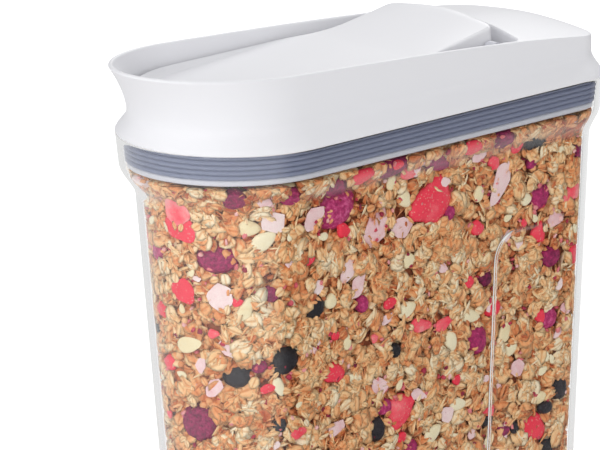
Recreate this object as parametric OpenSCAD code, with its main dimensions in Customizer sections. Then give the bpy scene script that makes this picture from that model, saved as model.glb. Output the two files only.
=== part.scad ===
// Cereal container with a flip spout: a clear tapered container, a lid that plugs into its mouth with a
// ribbed seal, and a cap that flips up inside the lid's spout. Origin: middle of the whole thing's box,
// on the table. +Z up, the spout toward -X.

/* [Container] */
// Length of the container's mouth and the lid's skirt
mouth_l = 240; // [200:5:290]
// Width of the mouth and the skirt
mouth_w = 100; // [90:1:120]
// How far back the rounded front end reaches
nose_l = 52; // [44:1:64]
// Radius of the two rear corners at the mouth
corner_r = 20; // [16:1:28]
// How far the rear end bows out in the middle
rear_bow = 1.5; // [0.5:0.1:4]
// Height of the container's rim above the table
body_h = 205; // [160:5:300]
// Wall of the container
body_wall = 2.6; // [2:0.1:3.4]
// Thickness of the container's floor
floor_t = 3.2; // [2.4:0.1:5]
// Radius round the foot
foot_r = 6; // [4:0.5:8]
// Radius of the lip's two edges
lip_r = 0.7; // [0.4:0.1:0.9]
// Height of the straight collar under the rim
collar_h = 13; // [12:0.5:20]
// Draft of the collar, in mm per mm of height
collar_draft = 0.11; // [0.05:0.01:0.14]
// Height of the curved shoulder under the collar
shoulder_h = 15; // [10:1:24]
// How far the shoulder steps in at the front
shoulder_front = 7.4; // [4:0.2:10]
// How far the shoulder steps in at the sides
shoulder_side = 7; // [4:0.2:9]
// How far the shoulder steps in at the rear
shoulder_rear = 1; // [0.4:0.2:8]
// Draft of the front end below the shoulder, in mm per mm of height
front_draft = 0.1; // [0.02:0.01:0.14]
// Draft of the sides below the shoulder
side_draft = 0.042; // [0.01:0.002:0.06]
// Draft of the rear end below the shoulder
rear_draft = 0.02; // [0:0.005:0.04]

/* [Hand grip] */
// Front edge of the hand grip, from the front tip of the mouth
grip_x = 173; // [140:1:178]
// Top edge of the hand grip, below the rim
grip_top = 63; // [50:1:80]
// Lower edge of the hand grip, above the table
grip_foot = 21; // [15:1:40]
// Radius of the hand grip's corners
grip_r = 12; // [6:1:20]
// Depth of the hand grip
grip_depth = 1.6; // [0.8:0.1:2.2]
// Width of the step round the hand grip
grip_edge = 3; // [2:0.5:6]
// Length over which the hand grip runs out toward the rear
grip_fade = 32; // [15:1:45]

/* [Lid] */
// Height of the spout's tip above the container's rim
spout_h = 33.8; // [30:0.2:40]
// Height of the lid's edge above the container's rim at the rear
tail_h = 16.4; // [15:0.2:19]
// How far the spout's tip reaches out past the skirt
spout_reach = 9.8; // [4:0.2:14]
// Wall of the lid
lid_wall = 2.3; // [1.8:0.1:3]
// Width of the skirt's lower edge
skirt_wall = 2.2; // [2:0.1:3]
// Height of the waist above the container's rim
waist_h = 10.3; // [9.6:0.1:12]
// How far the waist steps in at the front
waist_front = 3.2; // [1:0.2:6]
// How far the waist steps in at the sides
waist_side = 8; // [6:0.2:9]
// How far the waist steps in at the rear
waist_rear = 4.5; // [2:0.5:8]
// How much the spout's lean gathers toward its tip, where 1 is a straight slope
spout_curve = 1.5; // [1:0.05:1.6]
// How soon the band draws in toward the waist: the smaller, the sooner
band_curve = 0.85; // [0.6:0.05:1.3]
// Share of the edge's fall that lies close to the tail
tail_fall = 0.26; // [0:0.02:0.4]
// How far back the widest point of the upper lid lies
upper_nose = 50; // [40:1:60]
// Radius of the upper lid's rear corners
upper_r = 12; // [8:1:16]
// Radius of the rolled rim
rim_r = 1.1; // [0.6:0.1:1.15]
// Length of the rear deck at its corners
deck_l = 49.2; // [44:0.2:52]
// How far the deck's front edge bows back in the middle
deck_bow = 5; // [4:0.5:8]
// Radius of the corners behind the cap
deck_r = 5; // [3:0.5:8]
// Crown of the rear deck
deck_crown = 4.1; // [2:0.1:6]
// How full the deck's crown stays toward the rear
deck_full = 6; // [2:0.5:7]
// How full the deck's crown stays toward its sides
deck_across = 1.6; // [1.2:0.1:3]

/* [Inner moulding] */
// Top of the lid's floor plate above the container's rim
plate_top = 6; // [5:0.1:7]
// Thickness of the floor plate
plate_t = 2.5; // [2:0.1:3]
// How far in from the lid's waist the floor plate ends
plate_seat = 1.3; // [0.8:0.1:1.6]
// How far in from the skirt the plug wall stands
plug_inset = 8.8; // [8.4:0.1:10]
// Wall of the plug
plug_wall = 2; // [1.5:0.1:2.5]
// Depth of the seal's groove below the container's rim
groove_h = 11; // [8:0.5:13]
// Thickness of the flange under the seal
flange_t = 2.5; // [1.5:0.1:4]
// Thickness of the flange over the seal
cap_flange_t = 1.6; // [1.5:0.1:2.5]
// Gap between the two flanges and the container's wall
flange_gap = 0.8; // [0.5:0.1:1.2]
// Front end of the pour opening
pour_x = 12; // [10:1:16]
// Length of the pour opening
pour_l = 56; // [40:1:80]
// Width of the pour opening
pour_w = 54; // [40:1:60]
// Radius of the pour opening's rear corners
pour_r = 9; // [5:1:14]
// Height of the upstand round the pour opening
upstand_h = 5; // [3:0.1:5.2]
// Wall of the upstand
upstand_wall = 1.8; // [1.4:0.1:2.4]

/* [Seals] */
// Number of ribs on the mouth seal
ribs = 5; // [3:1:6]
// Depth of the grooves between the ribs
rib_depth = 1.1; // [0.5:0.1:1.6]
// Gap between a soft seal and the parts it seals against
seal_gap = 0.3; // [0.2:0.05:0.5]
// Width of the pour seal
pour_seal_w = 3; // [2:0.2:4]
// Space for the pour seal between the upstand and the liner
pour_seal_h = 2; // [1.5:0.1:2.4]
// Depth of the pour seal's groove in the liner
liner_groove = 0.8; // [0.5:0.1:1.2]

/* [Flip cap] */
// Gap between the cap and the wall round it
cap_gap = 0.9; // [0.6:0.1:1.4]
// Wall of the cap
cap_wall = 2; // [1.6:0.1:2.6]
// Height of the cap's level edge above the container's rim
cap_edge_h = 21.2; // [19:0.2:23]
// Height of the dished panel's front above the container's rim
dish_h = 16.6; // [16:0.2:19]
// Rise of the dished panel, in mm per mm of length
dish_rise = 0.042; // [0.02:0.002:0.05]
// Slope of the margin round the dished panel, in mm per mm
margin_slope = 0.9; // [0.5:0.1:1.4]
// Radius of the cap's top edge
cap_round = 1; // [0.6:0.1:1.4]
// Gap between the cap's rear end and the deck
notch_gap = 7.8; // [7:0.2:9]
// Length of the thumb hump
hump_l = 48.5; // [44:0.5:60]
// Rise of the thumb hump
hump_h = 8.9; // [6:0.1:9.2]
// How much the hump's long edges lie below its middle
hump_crown = 3.5; // [0.5:0.1:5]
// How flat the hump stays across before its edges fall
hump_across = 3; // [2:0.5:5]
// How much the hump's rise gathers toward its rear, where 1 is a straight slope
hump_curve = 1.4; // [1:0.05:1.6]
// How far in front of the hump the cap starts to narrow
neck_lead = 22; // [16:1:34]
// Length over which it narrows
neck_l = 40; // [25:1:45]
// How far the cap's rear end bows out in the middle
cap_bow = 5; // [2:0.5:5.5]
// Radius of the cap's rear corners
cap_r = 5; // [4:0.5:8]
// Draft of the cap's sides, in mm per mm of height
cap_draft = 0.07; // [0.02:0.01:0.1]
// Thickness of the liner under the cap
liner_t = 2; // [1.6:0.1:2.6]
// How far in from the cap's edge the liner ends
liner_in = 0.5; // [0.2:0.1:1]

/* [Hinge] */
// How far in from the cap's rear corners the hinge axis lies
hinge_in = 6; // [5.6:0.1:7]
// Height of the hinge axis above the container's rim
hinge_z = 20; // [19.5:0.1:20.5]
// Radius of the hinge pins
pin_r = 1.5; // [1.2:0.1:1.8]
// Running clearance of a pin in its ear
pin_gap = 0.06; // [0.02:0.01:0.1]
// Radius of the hinge ears and knuckles
knuckle_r = 3.2; // [2.8:0.1:3.4]
// Width of a knuckle inside the cap's side wall
knuckle_w = 3; // [2.5:0.5:5]
// Gap between a knuckle and the foot of the cap's side wall
knuckle_in = 1.4; // [1:0.1:3]
// Width of a hinge ear
ear_w = 5; // [3:0.5:6]
// Side gap between the cap and an ear
ear_gap = 0.5; // [0.3:0.05:0.6]
// Gap between an ear and the lid's side wall
ear_out = 1.7; // [1:0.1:3]
// How far the liner's arms reach forward of the hinge axis
web_l = 12; // [10:1:16]
// How far the liner laps over its arms
liner_lap = 5; // [3:0.5:8]

/* [Hidden] */
white = "whitesmoke";
slate = "slategray";
nose_steps = 10;
corner_steps = 5;
rear_steps = 3;
side_steps = 8;
tail_steps = 4;
half_w = mouth_w / 2;
grip_low = body_h - grip_foot;
upper_rear = mouth_l - waist_rear;
deck_x = upper_rear - deck_l;
cap_rear = deck_x - notch_gap;
hump_x = cap_rear - hump_l;
hinge_x = cap_rear - hinge_in;
liner_z = plate_top + upstand_h + pour_seal_h;
channel_w = half_w - waist_side - lid_wall;
// half the width of the thumb hump, which stands between the hinge ears
hump_w = channel_w - ear_out - ear_w - ear_gap;
// how far a cut runs past the face that it opens
past = 1;
// the part stands in the middle of its own box, which runs from the spout's tip to the rear of the skirt
origin = [-(mouth_l + rear_bow - spout_reach) / 2, 0, body_h];
// flat end of the side stations that the lid's wall and the channel inside it share
side_end = deck_x - 3 * deck_r;

function mix(a, b, t) = a + (b - a) * t;
function clamp(v, lo, hi) = min(max(v, lo), hi);
function smooth(t) = let (c = clamp(t, 0, 1)) c * c * (3 - 2 * c);
// a quarter round of radius r: how far the surface lies below its top at a distance e from its edge
function round_off(e, r) = e >= r ? 0 : r - sqrt(r * r - (r - e) * (r - e));

// Half of an outline, from the front tip round the near side to the middle of the rear, as
// [x, y, inward x, inward y]. The front is half an ellipse, the sides are straight, the rear is bowed.
function half_plan(front, nose, rear, w, r, sides, bow = 0) = concat(
    [for (i = [0:nose_steps])
        let (a = 90 * i / nose_steps, l = nose - front, v = [cos(a) / l, sin(a) / w], m = norm(v))
        [nose - l * cos(a), -w * sin(a), v.x / m, v.y / m]],
    [for (x = sides) [x, -w, 0, 1]],
    [for (i = [0:corner_steps])
        let (a = 90 * i / corner_steps)
        [rear - r + r * sin(a), -w + r - r * cos(a), -sin(a), cos(a)]],
    [for (i = [1:rear_steps])
        let (t = 1 - i / rear_steps)
        [rear + bow * (1 - t * t), -(w - r) * t, -1, 0]]
);

// Stations along a straight side, evenly to side_end and from there to the corner
function side_stations(nose, last) = concat(
    [for (i = [1:side_steps]) mix(nose, side_end, i / side_steps)],
    [for (i = [1:tail_steps - 1]) mix(side_end, last, i / tail_steps)]
);

// A half outline moved in by e, at height z, and closed by its mirror image
function inset(h, e) = [for (p = h) [p.x + p[2] * e, p.y + p[3] * e]];
function at(h, z) = [for (p = h) [p.x, p.y, z]];
function around(h) = concat(h, [for (i = [len(h) - 2:-1:1]) [h[i].x, -h[i].y, h[i].z]]);

// A skin through rings of equal length. Each end is closed straight across from one side to the other,
// unless the rings close on themselves.
module skin(rings, looped = false) {
    n = len(rings[0]);
    m = len(rings);
    last = (m - 1) * n;
    walls = [for (k = [0:looped ? m - 1 : m - 2], i = [0:n - 1])
        let (a = k * n, d = ((k + 1) % m) * n, j = (i + 1) % n)
        each [[a + i, d + i, d + j], [a + i, d + j, a + j]]];
    caps = looped ? [] : [for (i = [0:n / 2 - 1])
        let (j = (n - i) % n, l = n - i - 1)
        each [if (l != i + 1) each [[i, i + 1, l], [last + l, last + i + 1, last + i]],
            if (j != i) each [[i, l, j], [last + j, last + l, last + i]]]];
    polyhedron([for (r = rings) each r], concat(walls, caps));
}

// ---- container ----

// Depth of the hand grip at x and a distance d below the rim: a rounded window that runs out to the rear
function grip(x, d) =
    let (qx = grip_x + grip_r - x, qd = max(grip_top + grip_r - d, d - grip_low + grip_r),
        inside = grip_r - (qx > 0 && qd > 0 ? norm([qx, qd]) : max(qx, qd)))
    grip_depth * smooth(inside / grip_edge + 0.5) * (1 - smooth(-qx / grip_fade));

function grip_stations(nose, last) =
    let (a = grip_x - grip_edge / 2, b = grip_x + grip_r)
    concat([for (i = [1:5]) mix(nose, a, i / 5)],
        [grip_x, grip_x + grip_edge / 2, grip_x + grip_r * 0.35, grip_x + grip_r * 0.65],
        [for (i = [0:2]) mix(b, last, i / 3)]);

// The container's outline d below the rim, moved in by e
function body_ring(d, e) =
    let (c = collar_draft * min(d, collar_h), s = smooth((d - collar_h) / shoulder_h),
        below = max(0, d - collar_h - shoulder_h),
        front = c + shoulder_front * s + front_draft * below,
        w = half_w - c - shoulder_side * s - side_draft * below,
        rear = mouth_l - c - shoulder_rear * s - rear_draft * below,
        k = w / (half_w - c), nose = front + (nose_l - c) * k, r = (corner_r - c) * k,
        h = half_plan(front, nose, rear, w, r, grip_stations(nose, rear - r), rear_bow))
    around([for (p = h) let (g = e + grip(p.x, d)) [p.x + p[2] * g, p.y + p[3] * g, -d]]);

module container_body() {
    step = [-grip_edge / 3, 0, grip_edge / 3, grip_r * 0.4, grip_r * 0.75, grip_r * 1.15];
    grip_down = concat([for (v = step) grip_top + v], [for (i = [len(step) - 1:-1:0]) grip_low - step[i]]);
    shoulder = [for (t = [0, 0.18, 0.36, 0.54, 0.72, 1]) collar_h + shoulder_h * t];
    rows = concat(shoulder, grip_down);
    foot = [for (a = [90:-22.5:22.5]) [body_h - foot_r + foot_r * sin(a), foot_r - foot_r * cos(a)]];
    in_foot = [for (a = [30, 60, 90])
        [body_h - floor_t - (foot_r - body_wall) * (1 - sin(a)), body_wall + (foot_r - body_wall) * (1 - cos(a))]];
    rings = concat(
        [for (f = foot) body_ring(f[0], f[1])],
        [for (i = [len(rows) - 1:-1:0]) body_ring(rows[i], 0)],
        [for (a = [90, 45, 0]) body_ring(lip_r * (1 - cos(a)), lip_r * (1 - sin(a)))],
        [for (a = [0, 45, 90]) body_ring(lip_r * (1 - cos(a)), body_wall - lip_r * (1 - sin(a)))],
        [for (d = rows) body_ring(d, body_wall)],
        [for (f = in_foot) body_ring(f[0], f[1])]
    );
    color("white", 0.35) translate(origin) skin(rings);
}

// ---- lid housing ----

// Height of the lid's edge at x: it falls from the spout to the tail, and faster near the tail
function edge_z(x) =
    let (t = clamp((x + spout_reach) / (upper_rear + spout_reach), 0, 1))
    spout_h - (spout_h - tail_h) * mix(t, pow(t, 5), tail_fall);

// Height of the lid's top surface: the edge, and behind the cap the crowned deck
function top_z(x, y) =
    let (w = half_w - waist_side, t = clamp((x - deck_x) / (upper_rear + rear_bow - deck_x), 0, 1),
        rise = smooth((x - deck_x + deck_r) / deck_r) * pow(1 - pow(t, deck_full), 1 / deck_full))
    edge_z(x) + deck_crown * rise * max(0, 1 - pow(abs(y) / w, deck_across));

// Outline of the base band: t runs from 0 at the skirt's edge to 1 at the waist
function band_plan(t) =
    let (k = smooth(pow(t, band_curve)), nose = mix(nose_l, upper_nose, k),
        rear = mouth_l - waist_rear * k, r = mix(corner_r, upper_r, k))
    half_plan(waist_front * k, nose, rear, half_w - waist_side * k, r, side_stations(nose, rear - r), rear_bow);

// Outline of the upper wall: t runs from 0 at the waist to 1 at the rim, and the front leans out as a spout
function spout_x(t) = mix(waist_front, -spout_reach, pow(t, spout_curve));
function wall_plan(t) =
    half_plan(spout_x(t), upper_nose, upper_rear, half_w - waist_side, upper_r,
        side_stations(upper_nose, upper_rear - upper_r), rear_bow);

// Outline of the channel that the cap lies in
function channel_plan(t) =
    half_plan(spout_x(t) + lid_wall, upper_nose, deck_x, channel_w, deck_r,
        side_stations(upper_nose, deck_x - deck_r), deck_bow);

function between(a, b, s) = [for (i = [0:len(a) - 1]) mix([a[i].x, a[i].y], [b[i].x, b[i].y], s)];

module lid_housing() {
    out = wall_plan(1);
    chan = channel_plan(1);
    low_out = wall_plan(0);
    low_in = channel_plan(0);
    idx = [0:len(out) - 1];
    // which columns cross the hollow under the deck: those of the rear corners and the rear end
    hollow = nose_steps + 1 + side_steps + tail_steps - 1 + 2;
    band = [0, 0.19, 0.39, 0.54, 0.68, 0.83];
    across = [0, 0.04, 0.12, 0.25, 0.42, 0.6, 0.76, 0.88, 0.96, 1];
    under = [0.05, 0.1, 0.37, 0.63, 0.9];
    span = [for (i = idx) norm([out[i].x - chan[i].x, out[i].y - chan[i].y])];
    // how near to the outer wall the underside ends, which leaves the inner plate its seat
    seat_end = [for (i = idx) max(0.95, 1 - plate_seat / 3 / span[i])];
    rings = concat(
        [for (t = band) around(at(band_plan(t), t * waist_h))],
        [for (t = [0, 0.2, 0.4, 0.6, 0.8])
            let (h = wall_plan(t))
            around([for (i = idx) [h[i].x, h[i].y, mix(waist_h, edge_z(out[i].x) - rim_r, t)]])],
        [for (s = across)
            let (p = between(out, chan, s))
            around([for (i = idx)
                [p[i].x, p[i].y, top_z(p[i].x, p[i].y) - round_off(min(s, 1 - s) * span[i], rim_r)]])],
        [for (t = [0.75, 0.4, 0])
            let (h = channel_plan(t))
            around([for (i = idx)
                [h[i].x, h[i].y, mix(waist_h, top_z(chan[i].x, chan[i].y) - rim_r, t)]])],
        [around(at(low_in, plate_top))],
        [for (s = under)
            let (p = between(low_in, low_out, s))
            around([for (i = idx)
                [p[i].x, p[i].y, s > under[0] && i >= hollow ? top_z(p[i].x, p[i].y) - lid_wall : plate_top]])],
        [around([for (i = idx)
            let (p = mix([low_in[i].x, low_in[i].y], [low_out[i].x, low_out[i].y], seat_end[i]))
            [p.x, p.y, plate_top]])],
        [for (i = [2, 1, 0]) around(at(inset(band_plan(band[i]), skirt_wall), band[i] * waist_h))]
    );
    color(white) translate(origin) skin(rings, looped = true);
}

// ---- inner moulding ----

// An outline moved in by e, as a flat slab between two heights
module slab(plan, e, z0, z1) {
    h = inset(plan, e);
    translate([0, 0, z0]) linear_extrude(z1 - z0) polygon([for (p = around(at(h, 0))) [p.x, p.y]]);
}

// The pour opening's outline, moved out by e
module pour_plan(e) {
    h = half_plan(pour_x - e, pour_x + pour_w / 2, pour_x + pour_l + e, pour_w / 2 + e, pour_r + e, []);
    polygon([for (p = around(at(h, 0))) [p.x, p.y]]);
}

module pour_prism(e, z0, z1) {
    translate([0, 0, z0]) linear_extrude(z1 - z0) pour_plan(e);
}

// An ear or knuckle: a round head on the hinge axis with a web down to z0, on one side of the middle
module knuckle(y, w, z0, lead) {
    translate([hinge_x, y + w, hinge_z]) rotate([90, 0, 0]) linear_extrude(w) union() {
        circle(knuckle_r, $fn = 48);
        polygon([[-knuckle_r, 0], [knuckle_r, 0], [knuckle_r, z0 - hinge_z], [-lead, z0 - hinge_z]]);
    }
}

module pin_bore(y, w, r) {
    translate([hinge_x, y + w, hinge_z]) rotate([90, 0, 0]) cylinder(r = r, h = w, $fn = 48);
}

// the ears stand just outside the cap's side walls, and the knuckles just inside them
ear_y = hump_w + ear_gap;
knuckle_y = hump_w - cap_wall - knuckle_in - knuckle_w;
pin_l = ear_y + ear_w - knuckle_y;
liner_rear = hinge_x - web_l + liner_lap;

module lid_inner_plate() {
    mouth = band_plan(0);
    rim_e = body_wall + flange_gap;
    plate_low = plate_top - plate_t;
    plug_low = -groove_h - flange_t;
    color(white) translate(origin) difference() {
        union() {
            slab(wall_plan(0), plate_seat, plate_low, plate_top);
            difference() {
                union() {
                    slab(mouth, plug_inset, -groove_h, plate_low);
                    slab(mouth, rim_e, 0, cap_flange_t);
                    slab(mouth, rim_e - collar_draft * plug_low, plug_low, -groove_h);
                }
                slab(mouth, plug_inset + plug_wall, plug_low - past, plate_low);
            }
            pour_prism(upstand_wall, plate_top, plate_top + upstand_h);
            for (y = [ear_y, -ear_y - ear_w]) knuckle(y, ear_w, plate_top, knuckle_r);
        }
        pour_prism(0, plate_low - past, plate_top + upstand_h + past);
        for (y = [ear_y, -ear_y - ear_w]) pin_bore(y, ear_w, pin_r + pin_gap);
    }
}

// ---- seals ----

// The mouth seal: its outer face follows the collar's draft and carries the round ribs
module mouth_seal() {
    pitch = groove_h / ribs;
    steps = 4;
    h = band_plan(0);
    rings = concat(
        [for (i = [0:ribs * steps])
            let (t = i / steps, z = t * pitch - groove_h, ease = rib_depth * (1 - abs(sin(180 * t))))
            around(at(inset(h, body_wall + seal_gap - collar_draft * z + ease), z))],
        [for (z = [0, -groove_h]) around(at(inset(h, plug_inset - seal_gap), z))]
    );
    color(slate) translate(origin) skin(rings, looped = true);
}

module pour_seal() {
    mid = upstand_wall / 2;
    low = plate_top + upstand_h + seal_gap;
    color(slate) translate(origin) difference() {
        pour_prism(mid + pour_seal_w / 2, low, liner_z + liner_groove);
        pour_prism(mid - pour_seal_w / 2, low - past, liner_z + liner_groove + past);
    }
}

// ---- flip cap ----

cap_t = (liner_z + liner_t - waist_h) / (spout_h - waist_h);
cap_front = spout_x(cap_t) + lid_wall + cap_gap;
cap_w = channel_w - cap_gap;
cap_low = liner_z + liner_t;

// The cap's outline: as wide as the channel at the front, and narrower at the hump, between the ears
function narrow(x) = mix(1, hump_w / cap_w, smooth((x - hump_x + neck_lead) / neck_l));
function cap_plan() =
    let (n = side_steps + tail_steps, sides = [for (i = [1:n - 1]) mix(upper_nose, cap_rear - cap_r, i / n)])
    [for (p = half_plan(cap_front, upper_nose, cap_rear, cap_w, cap_r, sides, cap_bow))
        [p.x, p.y * narrow(p.x), p[2], p[3]]];

// Height of the cap's top at x, at the share v of its half width, e in from its edge: a dished panel with
// a sloping margin, and the thumb hump behind it
function cap_z(x, v, e) =
    let (t = clamp((x - hump_x) / (cap_rear + cap_bow - hump_x), 0, 1),
        panel = dish_h + dish_rise * x + pow(t, hump_curve) * (hump_h - hump_crown * pow(v, hump_across)),
        margin = cap_edge_h - margin_slope * max(0, e - cap_round))
    max(panel, margin);

// The cap's outline drawn in to the share s of its size, toward the line down its middle
function cap_ring(s, e0, drop) =
    let (h = cap_plan(), a = upper_nose, b = cap_rear - cap_r)
    around([for (p = h)
        let (e = e0 + cap_draft * (cap_z(p.x, 1, 0) - cap_low), q = [p.x + p[2] * e, p.y + p[3] * e],
            c = clamp(p.x, a, b), x = mix(c, q.x, s), y = q.y * s)
        [x, y, cap_z(x, s, (1 - s) * cap_w + e0) - drop]]);

module flip_cap() {
    rings = concat(
        [for (s = [0.05, 0.4, 0.8, 0.96]) cap_ring(s, cap_wall, cap_wall)],
        [around(at(inset(cap_plan(), cap_wall), cap_low)), around(at(cap_plan(), cap_low))],
        [for (e = [0, 0.3, 1]) cap_ring(1, e * cap_round, round_off(e * cap_round, cap_round))],
        [for (s = [0.95, 0.91, 0.86, 0.7, 0.45, 0.2, 0.05]) cap_ring(s, 0, 0)]
    );
    color(white) translate(origin) difference() {
        skin(rings);
        for (y = [knuckle_y, -hump_w - past]) pin_bore(y, hump_w + past - knuckle_y, pin_r);
    }
}

module flip_cap_liner() {
    sides = [for (i = [1:side_steps - 1]) mix(upper_nose, liner_rear - cap_r, i / side_steps)];
    h = [for (p = half_plan(cap_front + liner_in, upper_nose, liner_rear, cap_w - liner_in, cap_r, sides))
        [p.x, p.y * narrow(p.x)]];
    mid = upstand_wall / 2;
    color(white) translate(origin) difference() {
        union() {
            translate([0, 0, liner_z]) linear_extrude(liner_t)
                polygon([for (p = around(at(h, 0))) [p.x, p.y]]);
            for (y = [knuckle_y, -knuckle_y - knuckle_w]) knuckle(y, knuckle_w, liner_z, web_l);
        }
        difference() {
            pour_prism(mid + pour_seal_w / 2, liner_z - past, liner_z + liner_groove);
            pour_prism(mid - pour_seal_w / 2, liner_z - 2 * past, liner_z + liner_groove + past);
        }
        for (y = [knuckle_y, -knuckle_y - knuckle_w]) pin_bore(y, knuckle_w, pin_r);
    }
}

// A hinge pin, pressed into its knuckle and turning in its ear; side is -1 or 1
module hinge_pin(side) {
    color("silver") translate(origin)
        translate([hinge_x, side > 0 ? knuckle_y + pin_l : -knuckle_y, hinge_z])
        rotate([90, 0, 0]) cylinder(r = pin_r, h = pin_l, $fn = 48);
}

module hinge_pin_left() { hinge_pin(-1); }
module hinge_pin_right() { hinge_pin(1); }

container_body();
lid_housing();
lid_inner_plate();
mouth_seal();
flip_cap();
flip_cap_liner();
pour_seal();
hinge_pin_left();
hinge_pin_right();
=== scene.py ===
import math

import bpy
import numpy as np
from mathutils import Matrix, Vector


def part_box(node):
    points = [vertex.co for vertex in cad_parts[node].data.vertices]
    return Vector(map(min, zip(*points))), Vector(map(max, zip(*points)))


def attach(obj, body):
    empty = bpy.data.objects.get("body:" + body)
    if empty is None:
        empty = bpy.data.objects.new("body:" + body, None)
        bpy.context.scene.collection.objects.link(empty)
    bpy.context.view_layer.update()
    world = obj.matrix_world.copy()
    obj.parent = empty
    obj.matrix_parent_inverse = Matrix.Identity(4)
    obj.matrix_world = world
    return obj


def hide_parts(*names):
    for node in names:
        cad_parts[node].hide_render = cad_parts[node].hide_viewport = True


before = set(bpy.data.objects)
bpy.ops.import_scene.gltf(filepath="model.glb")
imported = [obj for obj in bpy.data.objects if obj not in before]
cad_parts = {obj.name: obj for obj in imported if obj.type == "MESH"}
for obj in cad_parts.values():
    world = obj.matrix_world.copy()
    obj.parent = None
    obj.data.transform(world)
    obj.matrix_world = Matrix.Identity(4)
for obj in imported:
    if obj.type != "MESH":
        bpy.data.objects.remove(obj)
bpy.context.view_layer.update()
print("frame loaded:", ", ".join(sorted(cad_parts)))

# Lengths below are in millimetres from the front tip of the mouth: x toward the rear, y across, z above
# the container's rim. toRow turns them into the row frame, in metres.
lidLow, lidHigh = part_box("lid_housing")
mouth = {
    "width": (lidHigh.y - lidLow.y) * 1000,
    "rimAbove": lidLow.z * 1000,
    "spoutReach": 9.8,
    "rearBow": 1.5,
    "noseLength": 52.0,
    "cornerRadius": 20.0,
}
halfWidth = mouth["width"] / 2
mouthLength = (lidHigh.x - lidLow.x) * 1000 - mouth["spoutReach"] - mouth["rearBow"]
tipOffset = lidLow.x * 1000 + mouth["spoutReach"]


def toRow(points):
    return (np.asarray(points, float) + [tipOffset, 0.0, mouth["rimAbove"]]) / 1000


def mix(a, b, t):
    return a + (b - a) * t


def smooth(t):
    c = np.clip(t, 0, 1)
    return c * c * (3 - 2 * c)


def roundOff(e, r):
    # a quarter round: how far the surface lies below its top at the distance e from its edge
    return np.where(e >= r, 0.0, r - np.sqrt(np.maximum(r * r - (r - e) ** 2, 0)))


def circle(n):
    # even steps once round, in radians
    return np.linspace(0, 2 * np.pi, n + 1)[:-1]


# ---- outlines and skins ----

fineness = {"nose": 40, "corner": 14, "rear": 8, "wallSide": (18, 22, 8), "lidSide": (41, 12),
            "capSide": 50, "lobe": 64}


def halfPlan(front, nose, rear, w, r, sides, bow=0.0):
    # half an outline, from the front tip round the near side to the middle of the rear, as x, y and the
    # inward direction: a quarter ellipse, a straight side, a corner arc and a bowed rear end
    a = np.radians(np.linspace(0, 90, fineness["nose"] + 1))
    v = np.stack([np.cos(a) / (nose - front), np.sin(a) / w], 1)
    v /= np.linalg.norm(v, axis=1)[:, None]
    noseArc = np.column_stack([nose - (nose - front) * np.cos(a), -w * np.sin(a), v])
    side = np.column_stack([sides, np.full(len(sides), -w), np.zeros(len(sides)), np.ones(len(sides))])
    c = np.radians(np.linspace(0, 90, fineness["corner"] + 1))
    cornerArc = np.column_stack([rear - r + r * np.sin(c), -w + r - r * np.cos(c), -np.sin(c), np.cos(c)])
    t = 1 - np.arange(1, fineness["rear"] + 1) / fineness["rear"]
    tail = np.column_stack([rear + bow * (1 - t * t), -(w - r) * t, np.full(len(t), -1.0), np.zeros(len(t))])
    return np.concatenate([noseArc, side, cornerArc, tail])


def inset(h, e):
    out = h.copy()
    out[:, :2] += h[:, 2:] * np.reshape(e, (-1, 1))
    return out


def around(h):
    # closes a half outline with its mirror image
    return np.concatenate([h, h[-2:0:-1] * [1, -1, 1]])


def ringAt(h, z):
    # a whole ring from a half outline at the height z
    return around(np.column_stack([h[:, 0], h[:, 1], np.broadcast_to(z, len(h))]))


def stations(*spans):
    # even steps over each span of start, end and count, without the first of each
    return np.concatenate([np.linspace(*span)[1:] for span in spans])


def quarter(degrees):
    # steps round a quarter circle of unit radius, each as its distances from the two sides of the corner
    return [(1 - math.cos(a), 1 - math.sin(a)) for a in np.radians(degrees)]


def ringFaces(m, n, looped):
    # quads between m rings of n points, and, where the rings don't close on themselves, flat strips that
    # zip the first and the last ring across from one side to the other
    k = np.arange(m if looped else m - 1)[:, None] * n
    i = np.arange(n)[None, :]
    j = (i + 1) % n
    d = (k + n) % (m * n)
    quads = np.stack([k + i, k + j, d + j, d + i], -1).reshape(-1, 4)
    faces = [tuple(q) for q in quads.tolist()]
    if not looped:
        half = n // 2
        last = (m - 1) * n
        for c in range(half):
            strip = list(dict.fromkeys([c, (n - c) % n, n - c - 1, c + 1]))
            if len(strip) > 2:
                faces.append(tuple(strip))
                faces.append(tuple(last + s for s in reversed(strip)))
    return faces


def outward(points, faces):
    # a closed skin encloses a positive volume when its faces point outward
    total = 0.0
    for size in (3, 4):
        f = np.array([q for q in faces if len(q) == size])
        if len(f):
            for a, b, c in ((0, 1, 2), (0, 2, 3))[: size - 2]:
                total += np.einsum("ij,ij->", points[f[:, a]], np.cross(points[f[:, b]], points[f[:, c]]))
    return faces if total > 0 else [q[::-1] for q in faces]


def skin(rings, looped=False):
    points = np.concatenate(rings)
    return points, outward(points, ringFaces(len(rings), len(rings[0]), looped))


def newObject(name, data):
    thing = bpy.data.objects.new(name, data)
    bpy.context.scene.collection.objects.link(thing)
    return thing


def addPiece(name, parts, material, body, crease=32, stands=()):
    # parts are skins, joined into one mesh; edges sharper than crease degrees stay crisp
    points, faces, offset = [], [], 0
    for p, f in parts:
        points.append(p)
        faces += [tuple(offset + i for i in q) for q in f]
        offset += len(p)
    mesh = bpy.data.meshes.new(name)
    mesh.from_pydata(toRow(np.concatenate(points)).tolist(), [], faces)
    mesh.update()
    mesh.polygons.foreach_set("use_smooth", np.ones(len(mesh.polygons), bool))
    mesh.set_sharp_from_angle(angle=math.radians(crease))
    mesh.materials.append(material)
    piece = newObject(name, mesh)
    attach(piece, body)
    if stands:
        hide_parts(*stands)
    print("piece", name, len(mesh.polygons), "faces")
    return piece


# ---- materials ----

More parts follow.
